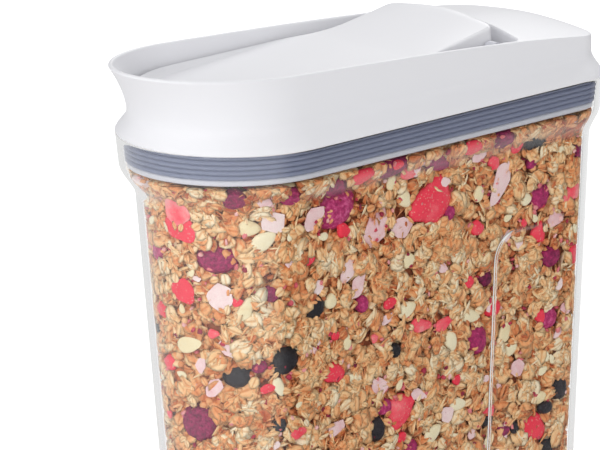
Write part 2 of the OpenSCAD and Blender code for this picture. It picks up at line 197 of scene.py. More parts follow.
def newMaterial(name, color, roughness, **extra):
    material = bpy.data.materials.new(name)
    material.use_nodes = True
    shader = material.node_tree.nodes["Principled BSDF"]
    shader.inputs["Base Color"].default_value = (*color, 1)
    shader.inputs["Roughness"].default_value = roughness
    for key, value in extra.items():
        shader.inputs[key.replace("_", " ")].default_value = value
    return material, material.node_tree, shader


def addNode(tree, kind, inputs, **settings):
    # a node with its settings, and for each input either its value or the output that feeds it
    node = tree.nodes.new("ShaderNode" + kind)
    for key, value in settings.items():
        setattr(node, key, value)
    for socket, value in inputs.items():
        if isinstance(value, bpy.types.NodeSocket):
            tree.links.new(value, node.inputs[socket])
        else:
            node.inputs[socket].default_value = value
    return node


def objectPlace(tree):
    return addNode(tree, "TexCoord", {}).outputs["Object"]


def noiseNode(tree, scale, detail=3.0, roughness=0.5):
    inputs = {"Scale": scale, "Detail": detail, "Roughness": roughness, "Vector": objectPlace(tree)}
    return addNode(tree, "TexNoise", inputs).outputs["Fac"]


def rangeNode(tree, source, low, high, span=(0.0, 1.0), kind="LINEAR"):
    # takes the span of the source to the range from low to high
    inputs = {"Value": source, "From Min": span[0], "From Max": span[1], "To Min": low, "To Max": high}
    return addNode(tree, "MapRange", inputs, interpolation_type=kind).outputs["Result"]


def mathNode(tree, operation, *values):
    return addNode(tree, "Math", dict(enumerate(values)), operation=operation).outputs[0]


def mixColor(tree, factor, color, other, blend="MIX"):
    inputs = {"Factor": factor, "A": color, "B": (*other, 1)}
    return addNode(tree, "Mix", inputs, data_type="RGBA", blend_type=blend).outputs["Result"]


def bumpFrom(tree, shader, height, strength, distance):
    bump = addNode(tree, "Bump", {"Strength": strength, "Distance": distance, "Height": height})
    tree.links.new(bump.outputs["Normal"], shader.inputs["Normal"])


def colorRamp(tree, source, stops):
    ramp = addNode(tree, "ValToRGB", {"Fac": source})
    while len(ramp.color_ramp.elements) < len(stops):
        ramp.color_ramp.elements.new(0.5)
    for element, (place, color) in zip(ramp.color_ramp.elements, stops):
        element.position = place
        element.color = (*color, 1)
    return ramp.outputs["Color"]


moulding = {"waveScale": 22, "smoother": 0.05, "rougher": 0.06, "grainScale": 900, "grainStrength": 0.12}


def mouldedPlastic(name, color, roughness, gloss=0.45, grain=0.00004):
    # smooth moulding: a faint waviness in the gloss and a very fine grain
    m = moulding
    material, tree, shader = newMaterial(name, color, roughness, Specular_IOR_Level=gloss)
    wave = noiseNode(tree, m["waveScale"], detail=2)
    tree.links.new(rangeNode(tree, wave, roughness - m["smoother"], roughness + m["rougher"]),
                   shader.inputs["Roughness"])
    bumpFrom(tree, shader, noiseNode(tree, m["grainScale"], detail=2), m["grainStrength"], grain)
    return material


def clearPlastic(name, tint, roughness, ior, clearness):
    # glass-like wall: light from the lamps, and light that was thrown back once already, passes straight
    # through it, so that what it holds is lit and nothing is trapped between its two faces
    material, tree, shader = newMaterial(name, tint, roughness, IOR=ior, Transmission_Weight=1.0)
    path = addNode(tree, "LightPath", {})
    through = addNode(tree, "BsdfTransparent", {"Color": (clearness, clearness, clearness, 1)})
    surface = shader.outputs[0]
    for ray in ("Is Reflection Ray", "Is Shadow Ray"):
        inputs = {0: path.outputs[ray], 1: surface, 2: through.outputs[0]}
        surface = addNode(tree, "MixShader", inputs).outputs[0]
    tree.links.new(surface, tree.nodes["Material Output"].inputs["Surface"])
    return material


def drawnSteel(name, color, roughness, grainScale, grainStrength, grain):
    material, tree, shader = newMaterial(name, color, roughness, Metallic=1.0)
    bumpFrom(tree, shader, noiseNode(tree, grainScale, detail=2), grainStrength, grain)
    return material


finish = {
    "white": {"color": (0.83, 0.83, 0.86), "roughness": 0.4, "gloss": 0.12},
    "inner": {"color": (0.63, 0.635, 0.69), "roughness": 0.34},
    "seal": {"color": (0.237, 0.262, 0.365), "roughness": 0.62, "gloss": 0.25, "grain": 0.00006},
    "clear": {"tint": (0.99, 0.995, 0.995), "roughness": 0.015, "ior": 1.5, "clearness": 0.99},
    "pin": {"color": (0.55, 0.55, 0.57), "roughness": 0.32, "grainScale": 1400, "grainStrength": 0.2,
            "grain": 0.00003},
}
whitePlastic = mouldedPlastic("whitePlastic", **finish["white"])
innerPlastic = mouldedPlastic("innerPlastic", **finish["inner"])
siliconeSeal = mouldedPlastic("siliconeSeal", **finish["seal"])
clearWall = clearPlastic("clearWall", **finish["clear"])
pinSteel = drawnSteel("pinSteel", **finish["pin"])
print("materials made")

# ---- container ----

container = {
    "height": mouth["rimAbove"],
    "wall": 2.6,
    "floor": 3.2,
    "foot": 6.0,
    "lip": 0.7,
    "collar": 13.0,
    "collarDraft": 0.11,
    "shoulder": 15.0,
    "shoulderFront": 7.4,
    "shoulderSide": 7.0,
    "shoulderRear": 1.0,
    "frontDraft": 0.1,
    "sideDraft": 0.042,
    "rearDraft": 0.02,
    "gripStart": 173.0,
    "gripTop": 63.0,
    "gripFoot": 21.0,
    "gripRadius": 12.0,
    "gripDepth": 1.6,
    "gripEdge": 3.0,
    "gripFade": 32.0,
}


def bodyShape(d):
    # front, half width, rear, nose and corner radius of the outer wall at the depth d below the rim
    b = container
    c = b["collarDraft"] * np.minimum(d, b["collar"])
    s = smooth((d - b["collar"]) / b["shoulder"])
    below = np.maximum(0, d - b["collar"] - b["shoulder"])
    front = c + b["shoulderFront"] * s + b["frontDraft"] * below
    w = halfWidth - c - b["shoulderSide"] * s - b["sideDraft"] * below
    rear = mouthLength - c - b["shoulderRear"] * s - b["rearDraft"] * below
    k = w / (halfWidth - c)
    return front, w, rear, front + (mouth["noseLength"] - c) * k, (mouth["cornerRadius"] - c) * k


def gripStep(x, d):
    # depth of the hand grip: a rounded window with an eased edge, which runs out toward the rear
    b = container
    qx = b["gripStart"] + b["gripRadius"] - x
    low = b["height"] - b["gripFoot"]
    qd = np.maximum(b["gripTop"] + b["gripRadius"] - d, d - low + b["gripRadius"])
    reach = np.where((qx > 0) & (qd > 0), np.hypot(qx, qd), np.maximum(qx, qd))
    step = b["gripDepth"] * smooth((b["gripRadius"] - reach) / b["gripEdge"] + 0.5)
    return step * (1 - smooth(-qx / b["gripFade"]))


def bodyRing(d, e):
    # the wall's outline at the depth d and e inside the outer face, with more steps at the grip's edge
    front, w, rear, nose, r = bodyShape(d)
    b = container
    start, end = b["gripStart"] - b["gripEdge"] * 0.75, b["gripStart"] + b["gripRadius"]
    ends = (nose, start, end, rear - r)
    sides = stations(*zip(ends, ends[1:], fineness["wallSide"]))
    h = halfPlan(front, nose, rear, w, r, sides, mouth["rearBow"])
    return ringAt(inset(h, e + gripStep(h[:, 0], d)), -d)


# Where the container's rings lie: distances from the lip, the shoulder and the grip's edge, a few single
# depths between the shoulder and the grip, and the counts of the others.
wallRows = {"belowLip": 1.5, "aboveShoulder": 2.0, "pastGrip": 2.5, "intoGrip": 2.0, "apart": 8.0,
            "single": (36, 44, 52), "collar": 4, "shoulder": 15, "grip": 24, "middle": 9, "foot": 9,
            "lip": 6}


def containerSkin():
    # rings up the outside, over the lip and down the inside, closer together at the shoulder and the grip
    b, m = container, wallRows
    wall, lip, foot, height = b["wall"], b["lip"], b["foot"], b["height"]
    top, low = b["gripTop"], height - b["gripFoot"]
    start, end = top + b["gripRadius"] + m["intoGrip"], low - b["gripRadius"]
    rows = np.concatenate([np.linspace(lip + m["belowLip"], b["collar"] - m["aboveShoulder"], m["collar"]),
                           b["collar"] + b["shoulder"] * np.linspace(0, 1, m["shoulder"]), m["single"],
                           np.linspace(top - m["pastGrip"], start, m["grip"]),
                           np.linspace(start + m["apart"], end - m["apart"], m["middle"]),
                           np.linspace(end - m["intoGrip"], low + m["pastGrip"], m["grip"])])
    bend, edge = quarter(np.linspace(90, 9, m["foot"])), quarter(np.linspace(0, 90, m["lip"]))
    rings = [bodyRing(height - foot * v, foot * u) for u, v in bend]
    rings += [bodyRing(d, 0) for d in rows[::-1]]
    rings += [bodyRing(lip * u, lip * v) for u, v in edge[::-1]]
    rings += [bodyRing(lip * u, wall - lip * v) for u, v in edge]
    rings += [bodyRing(d, wall) for d in rows]
    inner, floor = foot - wall, height - b["floor"]
    rings += [bodyRing(floor - inner * v, wall + inner * u) for u, v in bend[::-1]]
    return skin(rings)


addPiece("clearContainer", [containerSkin()], clearWall, "container",
         stands=["container_body"])

# ---- lid housing ----

lid = {
    "spoutHeight": 33.8,
    "tailHeight": 16.4,
    "tailFall": 0.26,
    "tailCurve": 5,
    "wall": 2.3,
    "skirtWall": 2.2,
    "skirtRound": 0.5,
    "waist": 10.3,
    "waistFront": 3.2,
    "waistSide": 8.0,
    "waistRear": 4.5,
    "spoutCurve": 1.5,
    "bandCurve": 0.85,
    "upperNose": 50.0,
    "upperRadius": 12.0,
    "rimRadius": 1.1,
    "deckLength": 49.2,
    "deckBow": 5.0,
    "deckRadius": 5.0,
    "deckCrown": 4.1,
    "deckFull": 6.0,
    "deckAcross": 1.6,
    "plateTop": 6.0,
    "seatInset": 0.43,
}
upperRear = mouthLength - lid["waistRear"]
deckStart = upperRear - lid["deckLength"]
channelWidth = halfWidth - lid["waistSide"] - lid["wall"]
sideEnd = deckStart - 3 * lid["deckRadius"]


def sideStations(nose, last):
    # every plan of the lid has as many steps along its side, so that their rings can be joined
    return stations(*zip((nose, sideEnd), (sideEnd, last), fineness["lidSide"]))[:-1]


def edgeHeight(x):
    # the edge falls from the spout to the tail, and faster near the tail
    reach = mouth["spoutReach"]
    t = np.clip((x + reach) / (upperRear + reach), 0, 1)
    fall = lid["spoutHeight"] - lid["tailHeight"]
    return lid["spoutHeight"] - fall * mix(t, t ** lid["tailCurve"], lid["tailFall"])


def topHeight(x, y):
    # the edge's height, and behind the cap a crown that eases in and rolls down at the tail and the sides
    w = halfWidth - lid["waistSide"]
    t = np.clip((x - deckStart) / (upperRear + mouth["rearBow"] - deckStart), 0, 1)
    rise = smooth((x - deckStart + lid["deckRadius"]) / lid["deckRadius"])
    rise = rise * (1 - t ** lid["deckFull"]) ** (1 / lid["deckFull"])
    return edgeHeight(x) + lid["deckCrown"] * rise * np.maximum(0, 1 - (np.abs(y) / w) ** lid["deckAcross"])


def bandPlan(t):
    # the skirt's outline at the share t of the way up to the waist
    k = smooth(t ** lid["bandCurve"])
    nose = mix(mouth["noseLength"], lid["upperNose"], k)
    rear = mouthLength - lid["waistRear"] * k
    r = mix(mouth["cornerRadius"], lid["upperRadius"], k)
    return halfPlan(lid["waistFront"] * k, nose, rear, halfWidth - lid["waistSide"] * k, r,
                    sideStations(nose, rear - r), mouth["rearBow"])


def spoutX(t):
    # the spout leans further out the higher it is
    return mix(lid["waistFront"], -mouth["spoutReach"], t ** lid["spoutCurve"])


def wallPlan(t):
    # the outer wall's outline at the share t of the way from the waist to the edge
    r = lid["upperRadius"]
    return halfPlan(spoutX(t), lid["upperNose"], upperRear, halfWidth - lid["waistSide"], r,
                    sideStations(lid["upperNose"], upperRear - r), mouth["rearBow"])


def channelPlan(t):
    # the same for the channel that the cap lies in
    r = lid["deckRadius"]
    return halfPlan(spoutX(t) + lid["wall"], lid["upperNose"], deckStart, channelWidth, r,
                    sideStations(lid["upperNose"], deckStart - r), lid["deckBow"])


# The shares of the way at which the housing's rings lie, as first, last and count or one by one, and the
# count over its edge.
lidRows = {"band": (0.08, 1, 20), "wall": (0.06, 0.96, 15), "edge": 31, "channel": (0.94, 0, 12),
           "solid": 0.05, "under": (0.1, 0.37, 0.63, 0.9), "seat": 0.95, "skirt": (0.39, 0.3, 0.2, 0.1, 0)}


def housingSkin():
    # rings up the outside, over the edge and the deck, down the channel and back along the underside
    waist, rim, low, skirtRound = lid["waist"], lid["rimRadius"], lid["plateTop"], lid["skirtRound"]
    out, channel = wallPlan(1), channelPlan(1)
    lowOut, lowIn = wallPlan(0), channelPlan(0)
    edge = edgeHeight(out[:, 0])
    span = np.hypot(*(out[:, :2] - channel[:, :2]).T)
    skirt = bandPlan(0)
    rings = [ringAt(inset(skirt, skirtRound * v), skirtRound * u) for u, v in quarter([0, 22, 45, 68, 90])]
    rings += [ringAt(bandPlan(t), t * waist) for t in np.linspace(*lidRows["band"])]
    rings += [ringAt(wallPlan(t), mix(waist, edge - rim, t)) for t in np.linspace(*lidRows["wall"])]
    # close to both edges the steps follow the quarter round, so that thin walls and the deck share rings
    for s in 0.5 - 0.5 * np.cos(np.linspace(0, np.pi, lidRows["edge"])):
        point = mix(out, channel, s)
        drop = roundOff(np.minimum(s, 1 - s) * span, rim)
        rings.append(ringAt(point, topHeight(point[:, 0], point[:, 1]) - drop))
    brim = topHeight(channel[:, 0], channel[:, 1]) - rim
    rings += [ringAt(channelPlan(t), mix(waist, brim, t)) for t in np.linspace(*lidRows["channel"])]
    rings.append(ringAt(lowIn, low))
    # the sides are solid down to the plate, and from the corners on the housing is hollow under its deck
    hollow = np.arange(len(out)) > fineness["nose"] + len(sideStations(0, 1)) + 2
    rings.append(ringAt(mix(lowIn, lowOut, lidRows["solid"]), low))
    for s in lidRows["under"]:
        point = mix(lowIn, lowOut, s)
        under = topHeight(point[:, 0], point[:, 1]) - lid["wall"]
        rings.append(ringAt(point, np.where(hollow, under, low)))
    seatEnd = np.maximum(lidRows["seat"], 1 - lid["seatInset"] / span)
    rings.append(ringAt(mix(lowIn, lowOut, seatEnd[:, None]), low))
    rings += [ringAt(inset(bandPlan(t), lid["skirtWall"]), t * waist) for t in lidRows["skirt"]]
    return skin(rings, looped=True)


addPiece("lidHousing", [housingSkin()], whitePlastic, "lid", stands=["lid_housing"])

# ---- inner plate, plug and ears ----

plug = {
    "top": lid["plateTop"],
    "thickness": 2.5,
    "seat": 1.3,
    "inset": 8.8,
    "wall": 2.0,
    "groove": 11.0,
    "flange": 2.5,
    "capFlange": 1.6,
    "flangeGap": 0.8,
    "pourStart": 12.0,
    "pourLength": 56.0,
    "pourWidth": 54.0,
    "pourRadius": 9.0,
    "upstand": 5.0,
    "upstandWall": 1.8,
    "edgeRound": 0.5,
    "seatDrop": 0.01,
}


def evenSide(nose, last):
    # even steps along a straight side, as many as the lid's other plans have
    return np.linspace(nose, last, len(sideStations(0, 1)) + 2)[1:-1]


def pourPlan(e):
    # the outline of the pour opening, drawn out by e
    p = plug
    nose = p["pourStart"] + p["pourWidth"] / 2
    rear, r = p["pourStart"] + p["pourLength"] + e, p["pourRadius"] + e
    return halfPlan(p["pourStart"] - e, nose, rear, p["pourWidth"] / 2 + e, r, evenSide(nose, rear - r))


hinge = {
    "in": 6.0,
    "height": 20.0,
    "pin": 1.5,
    "gap": 0.06,
    "head": 3.2,
    "earWidth": 5.0,
    "earGap": 0.5,
    "earOut": 1.7,
    "knuckleWidth": 3.0,
    "knuckleIn": 1.4,
    "armLead": 12.0,
    "armLap": 5.0,
    "deckGap": 7.8,
    "edge": 0.35,
    "boreSlack": 0.01,
}
capEnd = deckStart - hinge["deckGap"]
hingeX = capEnd - hinge["in"]
humpWidth = channelWidth - hinge["earOut"] - hinge["earWidth"] - hinge["earGap"]


def lobeSkin(y, width, foot, lead, bore):
    # a round head on the hinge axis with a web down to foot: along each direction from the axis the outline
    # is the head's radius above the axis, and below it the nearest of the web's front, rear and foot
    a = circle(fineness["lobe"])
    c, s, r = np.cos(a), np.sin(a), hinge["head"]
    drop = hinge["height"] - foot
    across, down = np.array([-drop, r - lead]) / math.hypot(drop, lead - r)
    sides = [np.where(side > 1e-9, distance / np.maximum(side, 1e-9), 1e9)
             for side, distance in ((c, r), (-s, drop), (c * across + s * down, -r * across))]
    reach = np.where(s >= 0, r, np.min(sides, 0))
    soft, hole, far = hinge["edge"], bore + hinge["boreSlack"], y + width
    rings = [np.column_stack([hingeX + c * radius, np.full(len(a), place), hinge["height"] + s * radius])
             for radius, place in ((reach - soft, y), (reach, y + soft), (reach, far - soft),
                                   (reach - soft, far), (hole, far), (hole, y))]
    return skin(rings, looped=True)


def plateSkin():
    # the plate's profile: over its top and the upstand, down through the opening, and round the plug with
    # its two flanges
    p = plug
    soft, top, rise = p["edgeRound"], p["top"], p["top"] + p["upstand"]
    low, foot = p["top"] - p["thickness"], -p["groove"] - p["flange"]
    mouthPlan, seat = bandPlan(0), inset(wallPlan(0), p["seat"])
    rimE = container["wall"] + p["flangeGap"]
    tipE = rimE - container["collarDraft"] * foot
    plugOut, plugIn = inset(mouthPlan, p["inset"]), inset(mouthPlan, p["inset"] + p["wall"])
    outer = pourPlan(p["upstandWall"] + 1)
    profile = [(seat, top - p["seatDrop"])]
    profile += [(mix(seat, outer, s), top) for s in (0.02, 0.35, 0.7, 1)]
    profile += [(pourPlan(p["upstandWall"] + v), top + u) for u, v in quarter([30, 60, 90])]
    profile += [(pourPlan(p["upstandWall"] - soft * u), rise - soft * v) for u, v in quarter([0, 45, 90])]
    profile += [(pourPlan(soft * u), rise - soft * v) for u, v in quarter([90, 45, 0])]
    profile += [(pourPlan(0), low + soft), (pourPlan(soft), low), (plugIn, low), (plugIn, foot + soft)]
    profile += [(inset(plugIn, -soft), foot), (inset(mouthPlan, tipE + soft), foot)]
    profile += [(inset(mouthPlan, tipE), foot + soft), (inset(mouthPlan, tipE), -p["groove"] - soft)]
    profile += [(inset(mouthPlan, tipE + soft), -p["groove"]), (plugOut, -p["groove"]), (plugOut, 0)]
    profile += [(inset(mouthPlan, rimE), 0), (inset(mouthPlan, rimE), p["capFlange"])]
    profile += [(plugOut, p["capFlange"]), (plugOut, low), (seat, low)]
    return skin([ringAt(h, z) for h, z in profile], looped=True)


earY = humpWidth + hinge["earGap"]
earBore = hinge["pin"] + hinge["gap"]
ears = [lobeSkin(y, hinge["earWidth"], plug["top"], hinge["head"], earBore)
        for y in (earY, -earY - hinge["earWidth"])]
addPiece("lidPlate", [plateSkin(), *ears], innerPlastic, "lid",
         stands=["lid_inner_plate"])

# ---- seals ----

seal = {
    "ribs": 5,
    "ribSteps": 12,
    "ribDepth": 1.1,
    "ribRound": 0.7,
    "gap": 0.3,
    "pourWidth": 3.0,
    "pourSpace": 2.0,
    "pourGroove": 0.8,
}


def mouthSealSkin():
    # each rib is a round bulge between two narrow grooves, along the collar's draft
    height = plug["groove"]
    t = np.linspace(0, seal["ribs"], seal["ribs"] * seal["ribSteps"] + 1)
    z = t / seal["ribs"] * height - height
    ease = seal["ribDepth"] * (1 - np.abs(np.sin(np.pi * t)) ** seal["ribRound"])
    e = container["wall"] + seal["gap"] - container["collarDraft"] * z + ease
    h = bandPlan(0)
    back = plug["inset"] - seal["gap"]
    rings = [ringAt(inset(h, a), b) for a, b in zip(e, z)]
    rings += [ringAt(inset(h, back), b) for b in (0, -height)]
    return skin(rings, looped=True)


linerLow = plug["top"] + plug["upstand"] + seal["pourSpace"]


def pourSealSkin():
    # a soft bead: flat where it sits in the liner, half round where it meets the upstand
    mid, half = plug["upstandWall"] / 2, seal["pourWidth"] / 2
    low, high = linerLow - seal["pourSpace"] + seal["gap"], linerLow + seal["pourGroove"]
    a = np.radians(np.linspace(0, 180, 13))
    profile = [(pourPlan(mid + half), high)]
    profile += [(pourPlan(mid + half * math.cos(v)), low + half * (1 - math.sin(v))) for v in a]
    profile += [(pourPlan(mid - half), high)]
    return skin([ringAt(h, z) for h, z in profile], looped=True)


addPiece("mouthSeal", [mouthSealSkin()], siliconeSeal, "lid", crease=60,
         stands=["mouth_seal"])
addPiece("pourSeal", [pourSealSkin()], siliconeSeal, "cap", crease=60,
         stands=["pour_seal"])

# ---- flip cap ----

cap = {
    "gap": 0.9,
    "wall": 2.0,
    "edge": 21.2,
    "dish": 16.6,
    "dishRise": 0.042,
    "marginSlope": 0.9,
    "marginBlend": 0.6,
    "round": 1.0,
    "humpLength": 48.5,
    "hump": 8.9,
    "humpCrown": 3.5,
    "humpAcross": 3.0,
    "humpCurve": 1.4,
    "neckLead": 22.0,
    "neckLength": 40.0,
    "bow": 5.0,
    "radius": 5.0,
    "draft": 0.07,
    "liner": 2.0,
    "linerIn": 0.5,
    "linerRound": 0.4,
    "grooveSlack": 0.02,
}
capLow = linerLow + cap["liner"]
capLean = (capLow - lid["waist"]) / (lid["spoutHeight"] - lid["waist"])
capFront = spoutX(capLean) + lid["wall"] + cap["gap"]
capWidth = channelWidth - cap["gap"]
humpStart = capEnd - cap["humpLength"]


def narrow(x):
    # the cap is narrower at its hump, beside the hinge
    return mix(1, humpWidth / capWidth, smooth((x - humpStart + cap["neckLead"]) / cap["neckLength"]))


def capPlan():
    # the cap's outline: it fills the channel up to the hinge
    nose, last = lid["upperNose"], capEnd - cap["radius"]
    side = stations((nose, last, fineness["capSide"]))[:-1]
    h = halfPlan(capFront, nose, capEnd, capWidth, cap["radius"], side, cap["bow"])
    h[:, 1] *= narrow(h[:, 0])
    return h


def capHeight(x, v, e):
    # a dished panel with a sloping margin round it, and behind it the thumb hump, crowned across
    t = np.clip((x - humpStart) / (capEnd + cap["bow"] - humpStart), 0, 1)
    crown = cap["hump"] - cap["humpCrown"] * v ** cap["humpAcross"]
    panel = cap["dish"] + cap["dishRise"] * x + t ** cap["humpCurve"] * crown
    margin = cap["edge"] - cap["marginSlope"] * np.maximum(0, e - cap["round"])
    soft = cap["marginBlend"]
    gap = np.clip(0.5 + 0.5 * (margin - panel) / soft, 0, 1)
    return mix(panel, margin, gap) + soft * gap * (1 - gap)


def capRing(s, e0, drop):
    # the outline drawn in to the share s of its size, toward the line down its middle, e0 inside the cap's
    # side and drop below its top
    h = capPlan()
    lean = e0 + cap["draft"] * (capHeight(h[:, 0], 1.0, np.zeros(len(h))) - capLow)
    q = h[:, :2] + h[:, 2:] * lean[:, None]
    c = np.clip(h[:, 0], lid["upperNose"], capEnd - cap["radius"])
    x = mix(c, q[:, 0], s)
    z = capHeight(x, s, np.full(len(h), (1 - s) * capWidth + e0)) - drop
    return around(np.column_stack([x, q[:, 1] * s, z]))


# The same for the cap, with its rounded edge in degrees.
capRows = {"under": (0.04, 0.3, 0.6, 0.8, 0.93, 0.97), "side": (0.15, 0.5, 0.9),
           "edge": (0, 20, 40, 60, 75, 90),
           "top": (0.965, 0.95, 0.93, 0.91, 0.89, 0.87, 0.85, 0.82, 0.78, 0.72, 0.64, 0.55, 0.45, 0.34, 0.22,
                   0.1, 0.03)}


def capSkin():
    # rings out along the underside, up the outer wall, over the rounded edge and in over the top
    wall, soft = cap["wall"], cap["round"]
    rings = [capRing(s, wall, wall) for s in capRows["under"]]
    rings += [ringAt(inset(capPlan(), wall), capLow), ringAt(capPlan(), capLow)]
    top, base = capRing(1, 0, soft), rings[-1]
    rings += [mix(base, top, s) for s in capRows["side"]]
    rings += [capRing(1, soft * u, soft * v) for u, v in quarter(capRows["edge"])]
    rings += [capRing(s, 0, 0) for s in capRows["top"]]
    return skin(rings)


def linerSkin():
    # the cap's flat underside, with the groove of the pour seal
    mid, half = plug["upstandWall"] / 2, seal["pourWidth"] / 2
    rear = hingeX - hinge["armLead"] + hinge["armLap"]
    nose = lid["upperNose"]
    h = halfPlan(capFront + cap["linerIn"], nose, rear, capWidth - cap["linerIn"], cap["radius"],
                 evenSide(nose, rear - cap["radius"]))
    h[:, 1] *= narrow(h[:, 0])
    high, soft, slack = linerLow + seal["pourGroove"], cap["linerRound"], cap["grooveSlack"]
    outer, inner = pourPlan(mid + half + slack), pourPlan(mid - half - slack)
    profile = [(h, linerLow + cap["liner"]), (h, linerLow + soft), (inset(h, soft), linerLow)]
    profile += [(outer, linerLow), (outer, high + slack), (inner, high + slack), (inner, linerLow)]
    return skin([ringAt(g, z) for g, z in profile])


knuckleY = humpWidth - cap["wall"] - hinge["knuckleIn"] - hinge["knuckleWidth"]
knuckles = [lobeSkin(y, hinge["knuckleWidth"], linerLow, hinge["armLead"], hinge["pin"])
            for y in (knuckleY, -knuckleY - hinge["knuckleWidth"])]
addPiece("flipCap", [capSkin()], whitePlastic, "cap", stands=["flip_cap"])
addPiece("capLiner", [linerSkin(), *knuckles], innerPlastic, "cap",
         stands=["flip_cap_liner"])
for pinName in ("hinge_pin_left", "hinge_pin_right"):
    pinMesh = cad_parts[pinName].data
    pinMesh.materials.clear()
    pinMesh.materials.append(pinSteel)
print("lid and cap made")

# ---- what the container holds ----

fill = {
    "shown": True,
    "seed": 11,
    "topDepth": 15.5,
    "topRise": 0.4,
    "lowEnd": 4.0,
    "clearance": 0.3,
    "pressDepth": 0.5,
    "pressScale": 3.0,
    "pressRounds": 3,
    "spine": (48, 196),
    "topReach": 0.97,
    "topCurve": 0.7,
}
rng = np.random.default_rng(fill["seed"])


def unit(v):
    return v / np.linalg.norm(v, axis=1)[:, None]


def unitVectors(n):
    return unit(rng.normal(size=(n, 3)))


def joined(sets):
    # sets of equally long arrays, joined column by column
    return [np.concatenate(column) for column in zip(*sets)]


def wallReach(p):
    # distance of each point from the inner wall, and the direction away from the wall: the nearest of the
    # nose's ellipse, the straight sides, the corner arcs and the rear end
    x, y, d = p[:, 0], p[:, 1], -p[:, 2]
    front, w, rear, nose, r = bodyShape(d)
    e = container["wall"]
    grip = gripStep(x, d)
    a, b, yy = nose - front - e, w - e, np.abs(y)
    u, v = (x - nose) / a, y / b
    q = np.maximum(np.hypot(u, v), 1e-6)
    gx, gy = u / a / q, v / b / q
    g = np.maximum(np.hypot(gx, gy), 1e-9)
    sign = np.where(y < 0, -1.0, 1.0)
    cx, cy = x - (rear - r), yy - (w - r)
    arc = np.maximum(np.hypot(cx, cy), 1e-6)
    side, back = w - e - yy - grip, rear - e - x - grip
    inNose, inCorner = x < nose, (cx > 0) & (cy > 0)
    flat = np.minimum(side, back)
    reach = np.where(inNose, (1 - q) / g, np.where(inCorner, r - e - arc - grip, flat))
    ax = np.where(inNose, -gx / g, np.where(inCorner, -cx / arc, np.where(side < back, 0.0, -1.0)))
    ay = np.where(inNose, -gy / g, np.where(inCorner, -cy / arc * sign, np.where(side < back, -sign, 0.0)))
    return reach, np.column_stack([ax, ay, np.zeros(len(x))])


def wallRoom(p):
    # how far each point is from the wall, how far it should be, more so at the round foot, and the way there
    gap, foot = fill["clearance"], container["foot"] - container["wall"]
    reach, away = wallReach(p)
    rise = np.clip((p[:, 2] - container["floor"] + container["height"] - gap) / foot, 0, 1)
    return reach, gap + foot * (1 - np.sqrt(1 - (1 - rise) ** 2)), away


def pressInside(points):
    # what would stick through the wall is pressed flat behind it, and so is what would stick out of the top:
    # the further out it was, the nearer it lies to the wall, so that no two faces share a plane
    soft, scale = fill["pressDepth"], fill["pressScale"]
    p = points.reshape(-1, 3)
    top = fill["topRise"] - fill["topDepth"] - soft
    p[:, 2] = np.maximum(p[:, 2], container["floor"] - container["height"] + fill["clearance"])
    p[:, 2] = np.where(p[:, 2] > top, top + soft - soft * np.exp((top - p[:, 2]) / scale), p[:, 2])
    reach, need, away = wallRoom(p)
    layer = soft * np.exp(np.minimum(0, reach - need - soft) / scale)
    for _ in range(fill["pressRounds"]):
        p += away * np.maximum(0, need + layer - reach)[:, None]
        reach, need, away = wallRoom(p)
    return p.reshape(points.shape)


wallGrid = {"rows": 40, "columns": 900, "above": 4.0}


def wallPoint(u, d):
    # the point of the inner wall at the share u of the way round and at the depth d, read off a table of
    # outlines that are even in length, with the direction away from the wall
    depths = np.linspace(fill["topDepth"] - wallGrid["above"], container["height"] - container["floor"],
                         wallGrid["rows"])
    table = []
    for depth in depths:
        ring = bodyRing(depth, container["wall"])[:, :2]
        ring = np.concatenate([ring, ring[:1]])
        along = np.concatenate([[0], np.cumsum(np.hypot(*np.diff(ring, axis=0).T))])
        even = np.linspace(0, along[-1], wallGrid["columns"] + 1)
        table.append(np.column_stack([np.interp(even, along, column) for column in ring.T]))
    table = np.array(table)
    row = np.clip((d - depths[0]) / (depths[1] - depths[0]), 0, len(depths) - 1.001)
    col = np.clip(u, 0, 0.99999) * wallGrid["columns"]
    i, j = row.astype(int), col.astype(int)
    fi, fj = (row - i)[:, None], (col - j)[:, None]
    xy = mix(mix(table[i, j], table[i, j + 1], fj), mix(table[i + 1, j], table[i + 1, j + 1], fj), fi)
    p = np.column_stack([xy, -d])
    return p, wallReach(p)[1]


def wallPoints(n, topGap=0.0, lowGap=fill["lowEnd"]):
    # places strewn over the inner wall, with the directions away from it
    top, low = fill["topDepth"] + topGap, container["height"] - lowGap
    return wallPoint(rng.uniform(0, 1, n), rng.uniform(top, low, n))


def topPoints(n):
    # places strewn over the top of the heap, between the line down its middle and the wall
    ring, _ = wallPoint(rng.uniform(0, 1, n), np.full(n, fill["topDepth"]))
    middle = np.column_stack([np.clip(ring[:, 0], *fill["spine"]), np.zeros(n), ring[:, 2]])
    return mix(middle, ring, rng.uniform(0, fill["topReach"], n)[:, None] ** fill["topCurve"])


def turned(a, b, normal, turn):
    # three directions for each normal: two across it, turned about it, and the normal itself
    c, s = np.cos(turn)[:, None], np.sin(turn)[:, None]
    return np.stack([a * c + b * s, b * c - a * s, normal], 1)


def frameFrom(normal, turn):
    n = unit(normal)
    a = unit(np.cross(np.where(np.abs(n[:, 2:3]) < 0.9, [[0.0, 0.0, 1.0]], [[1.0, 0.0, 0.0]]), n))
    return turned(a, np.cross(n, a), n, turn)


def wallFrame(away, turn):
    # along the wall, up it and out of it, turned in the wall's own plane
    along = unit(np.cross(away, [0.0, 0.0, 1.0]))
    return turned(along, np.cross(along, away), away, turn)


def placed(local, corners, faces, centre, basis):
    # copies of a shape in their places, with the shape's triangles and its flat texture coordinates
    points = centre[:, None] + np.einsum("nki,nij->nkj", local, basis)
    return points, faces, corners[:, :2] * 0.5 + 0.5


